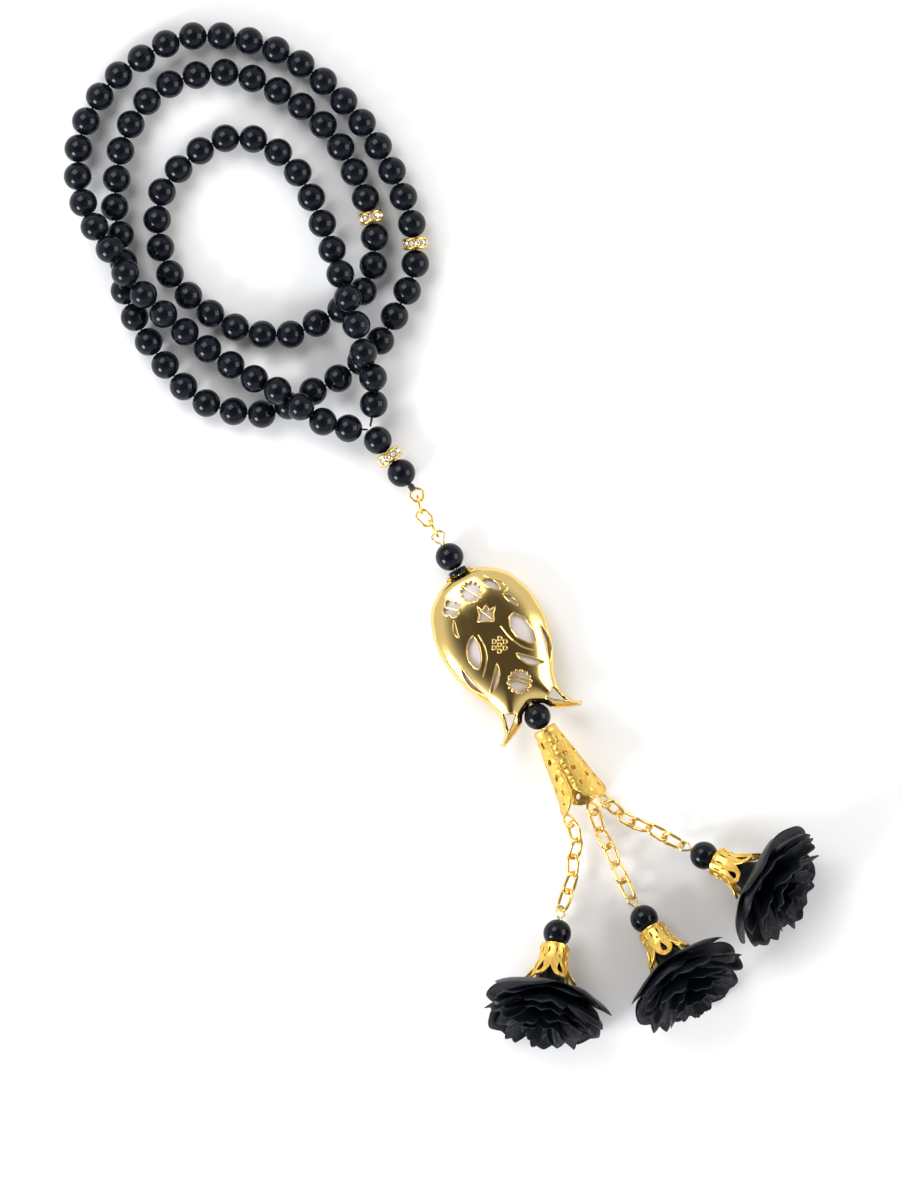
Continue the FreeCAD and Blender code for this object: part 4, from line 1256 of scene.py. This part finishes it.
DROP = [(math.sin(turn) * 1.22 * math.sin(turn / 2) ** 1.4, 7.3 - 2.05 * math.cos(turn))
        for turn in np.linspace(0, math.tau, 30, endpoint=False)]
SLOTS = [hole(-1.05, 2.2, 0.36, 1.05, 0, 14), hole(1.05, 2.2, 0.36, 1.05, 0, 14),
         hole(0, 3.9, 0.32, 0.6, 0, 12)]
cap_petal = petal("cap_petal", 20, 44, cap_skin, lambda lean: CAP_LONG, cap_lean)
modify(cap_petal, "SOLIDIFY", thickness=0.5, offset=-1.0)
pierce(cap_petal, [punch(outline, inside(cap_radius, 0.6), spread=2.4) for outline in [DROP] + SLOTS])
tidy(cap_petal, 0.0005)
smooth(cap_petal, 40)
tongue = [cap_skin(-cap_lean(down), down, 0.05) for down in np.linspace(4.7, CAP_LONG - 0.05, 20)]
tongue += [cap_skin(cap_lean(down), down, 0.05) for down in np.linspace(CAP_LONG - 0.05, 4.7, 20)]
edging = wire_along("edging", [tongue], 0.5, closed=False)
collars = collars_round([DROP] + SLOTS, cap_radius, cap_skin, 0.26)
sixth = joined([cap_petal, edging, collars], "sixth")
petals = [copied(sixth, "sixth", Matrix.Rotation(math.radians(SIXTH * index), 4, "Z")) for index in range(6)]
lid = turned("lid", [(0.62, 0.1), (3.4, 0.0), (3.95, 0.1), (4.2, 0.4), (4.15, 0.8), (3.6, 0.95), (3.4, 0.7),
                     (0.62, 0.75)], 48)
smooth(lid, 40)
cap_model = joined(petals + [lid], "cap_model")
for side in SIDES:
    eye, way = line_of(side + "_tassel_bell_spin")
    turn = {"left": 8, "middle": 26, "right": 44}[side]
    place = stand(eye + way * CAP_AT * MM, way, turn)
    finish(copied(cap_model, side + "_bell_cap", place), hammered_gold, "gold_filigree", side + "_tassel_bell",
           side + "_tassel_cap")
print("cap:", len(cap_model.data.polygons), "faces")
retire(sixth, cap_model)

# %% [markdown]
# ## Satin flowers
# Each tassel ends in a flower of die-cut satin: discs with pointed, ragged petals, threaded on the pin one
# behind the other and gathered at the middle. The outermost disc is the widest and lies back like a skirt
# under the cap, and each one after it stands more upright. A disc starts as a small ring whose edge is
# extruded outwards again and again. Its points are then laid along a curved line from neck to tip, with
# curled edges and a seeded ruffle. The flower rests on the table, so what would go below is pressed flat.

# %% Satin discs
HUB = 1.0
LAYERS = (
    # petals, reach, ragged, curl, ruffle, (radius, distance) from neck to tip
    (4, 19.5, 0.02, -0.3, 0.6, ((3.2, 15.4), (3.5, 18.8), (5.4, 21.9), (10.6, 23.6), (15.4, 25.2), (18.9, 28.6))),
    (4, 18.5, 0.05, 0.5, 0.9, ((2.8, 16.6), (3.4, 19.8), (6.2, 23.4), (10.8, 26.0), (14.9, 28.6), (17.6, 32.2))),
    (5, 17.5, 0.09, 0.9, 1.2, ((2.4, 17.8), (3.4, 21.2), (6.2, 24.8), (10.2, 27.8), (14.0, 30.2), (16.8, 33.6))),
    (5, 16.5, 0.12, 1.2, 1.3, ((2.0, 19.0), (3.0, 23.0), (5.4, 27.0), (8.8, 30.4), (12.0, 33.0), (14.0, 35.8))),
    (5, 14.5, 0.12, 1.2, 1.2, ((1.6, 20.6), (2.6, 24.8), (4.4, 28.8), (6.8, 32.2), (9.2, 34.8), (10.6, 36.8))),
    (4, 12.0, 0.10, 1.0, 1.0, ((1.2, 23.0), (2.0, 27.0), (3.0, 30.6), (4.4, 33.8), (5.6, 36.2), (6.2, 37.2))),
)
RINGS = 16
SPOKES = 144
CLOTH = 0.22
FLOOR_GAP = 0.0006
PRESSED = 0.003                # what would lie lower is pressed flat on the table
AREA_STEPS = 720
GROWTH = 1.2                   # from one ring of the disc to the next


def tip_reach(turn, petals, ragged, lengths, phase):
    """How far the cut disc reaches at an angle, as a share of its reach."""
    place = (turn / math.tau * petals + phase) % petals
    across = (place % 1.0) * 2 - 1
    petal_length = lengths[int(place) % petals]
    teeth = abs(((across * 1.6 + phase) % 1.0) * 2 - 1)
    valley = 0.30 * abs(across) ** 3
    return petal_length * (1 - valley) - ragged * teeth * (1 - 0.4 * abs(across))


def satin_disc(name, layer, seed, place):
    """One gathered disc of satin in its place, and its flat area in square metres."""
    petals, reach, ragged, curl, ruffle, spine = layer
    dice = random.Random(seed)
    phase = dice.random()
    lengths = [dice.uniform(0.88, 1.0) for _ in range(petals)]
    waves = [(dice.randint(2, 9), dice.uniform(0, math.tau), dice.uniform(0.4, 1.0)) for _ in range(4)]
    lean = (dice.uniform(-0.10, 0.10), dice.uniform(-0.08, 0.08))
    bpy.ops.mesh.primitive_circle_add(vertices=SPOKES, radius=HUB, fill_type="NOTHING")
    disc = bpy.context.object
    disc.name = name
    pick(disc, "EDGE", everything)
    for _ in range(RINGS):
        bpy.ops.mesh.extrude_edges_move()
        bpy.ops.transform.resize(value=(GROWTH, GROWTH, 1), center_override=(0, 0, 0))
    leave()
    flat = []
    area = -math.pi * HUB ** 2
    for point in disc.data.vertices:
        turn = math.atan2(point.co.y, point.co.x) % math.tau
        ring = math.log(max(math.hypot(point.co.x, point.co.y), HUB) / HUB) / math.log(GROWTH) / RINGS
        tip = tip_reach(turn, petals, ragged, lengths, phase)
        share = ring * tip
        across = ((turn / math.tau * petals + phase) % 1.0) * 2 - 1
        out = HUB + (reach - HUB) * share
        flat.append((out * math.cos(turn), out * math.sin(turn)))
        radius, down = curve_through(spine, share)
        ahead = curve_through(spine, min(share + 0.02, 1.0)) - curve_through(spine, max(share - 0.02, 0.0))
        ahead /= np.hypot(*ahead)
        wave = sum(size * math.sin(count * turn + start) for count, start, size in waves) / 2.4
        lift = (ruffle * wave + curl * 2.0 * (across * across - 0.35)) * share ** 1.7
        radius = max(radius - ahead[1] * lift, 0.8)
        down += ahead[0] * lift + (lean[0] * math.cos(turn) + lean[1] * math.sin(turn)) * radius
        point.co = (radius * math.cos(turn), radius * math.sin(turn), down)
    for step in range(AREA_STEPS):
        turn = math.tau * (step + 0.5) / AREA_STEPS
        whole = HUB + (reach - HUB) * tip_reach(turn, petals, ragged, lengths, phase)
        area += whole * whole * math.tau / AREA_STEPS / 2
    sheet_map = disc.data.uv_layers.new(name="cloth")
    for loop in disc.data.loops:
        sheet_map.data[loop.index].uv = Vector(flat[loop.vertex_index]) * MM
    modify(disc, "SOLIDIFY", thickness=CLOTH, offset=0.0)
    disc.data.transform(place)
    for point in disc.data.vertices:
        rest = point.co.z - FLOOR_GAP
        if rest < PRESSED:
            point.co.z = FLOOR_GAP + PRESSED * math.exp(min(rest / PRESSED - 1, 0))
    smooth(disc)
    return disc, area * MM * MM


# %% Three flowers
for number, side in enumerate(SIDES):
    body = side + "_tassel_bell"
    eye, way = line_of(body + "_spin")
    place = stand(eye, way, 37 * number)
    for depth, layer in enumerate(LAYERS, start=1):
        disc, area = satin_disc("%s_petals_%d" % (side, depth), layer, 40 * number + depth, place)
        finish(disc, flower_satin, "black_satin", body, side + "_tassel_flower")
    print(side, "flower:", len(LAYERS), "discs, the last", round(area * 10000, 2), "cm2")
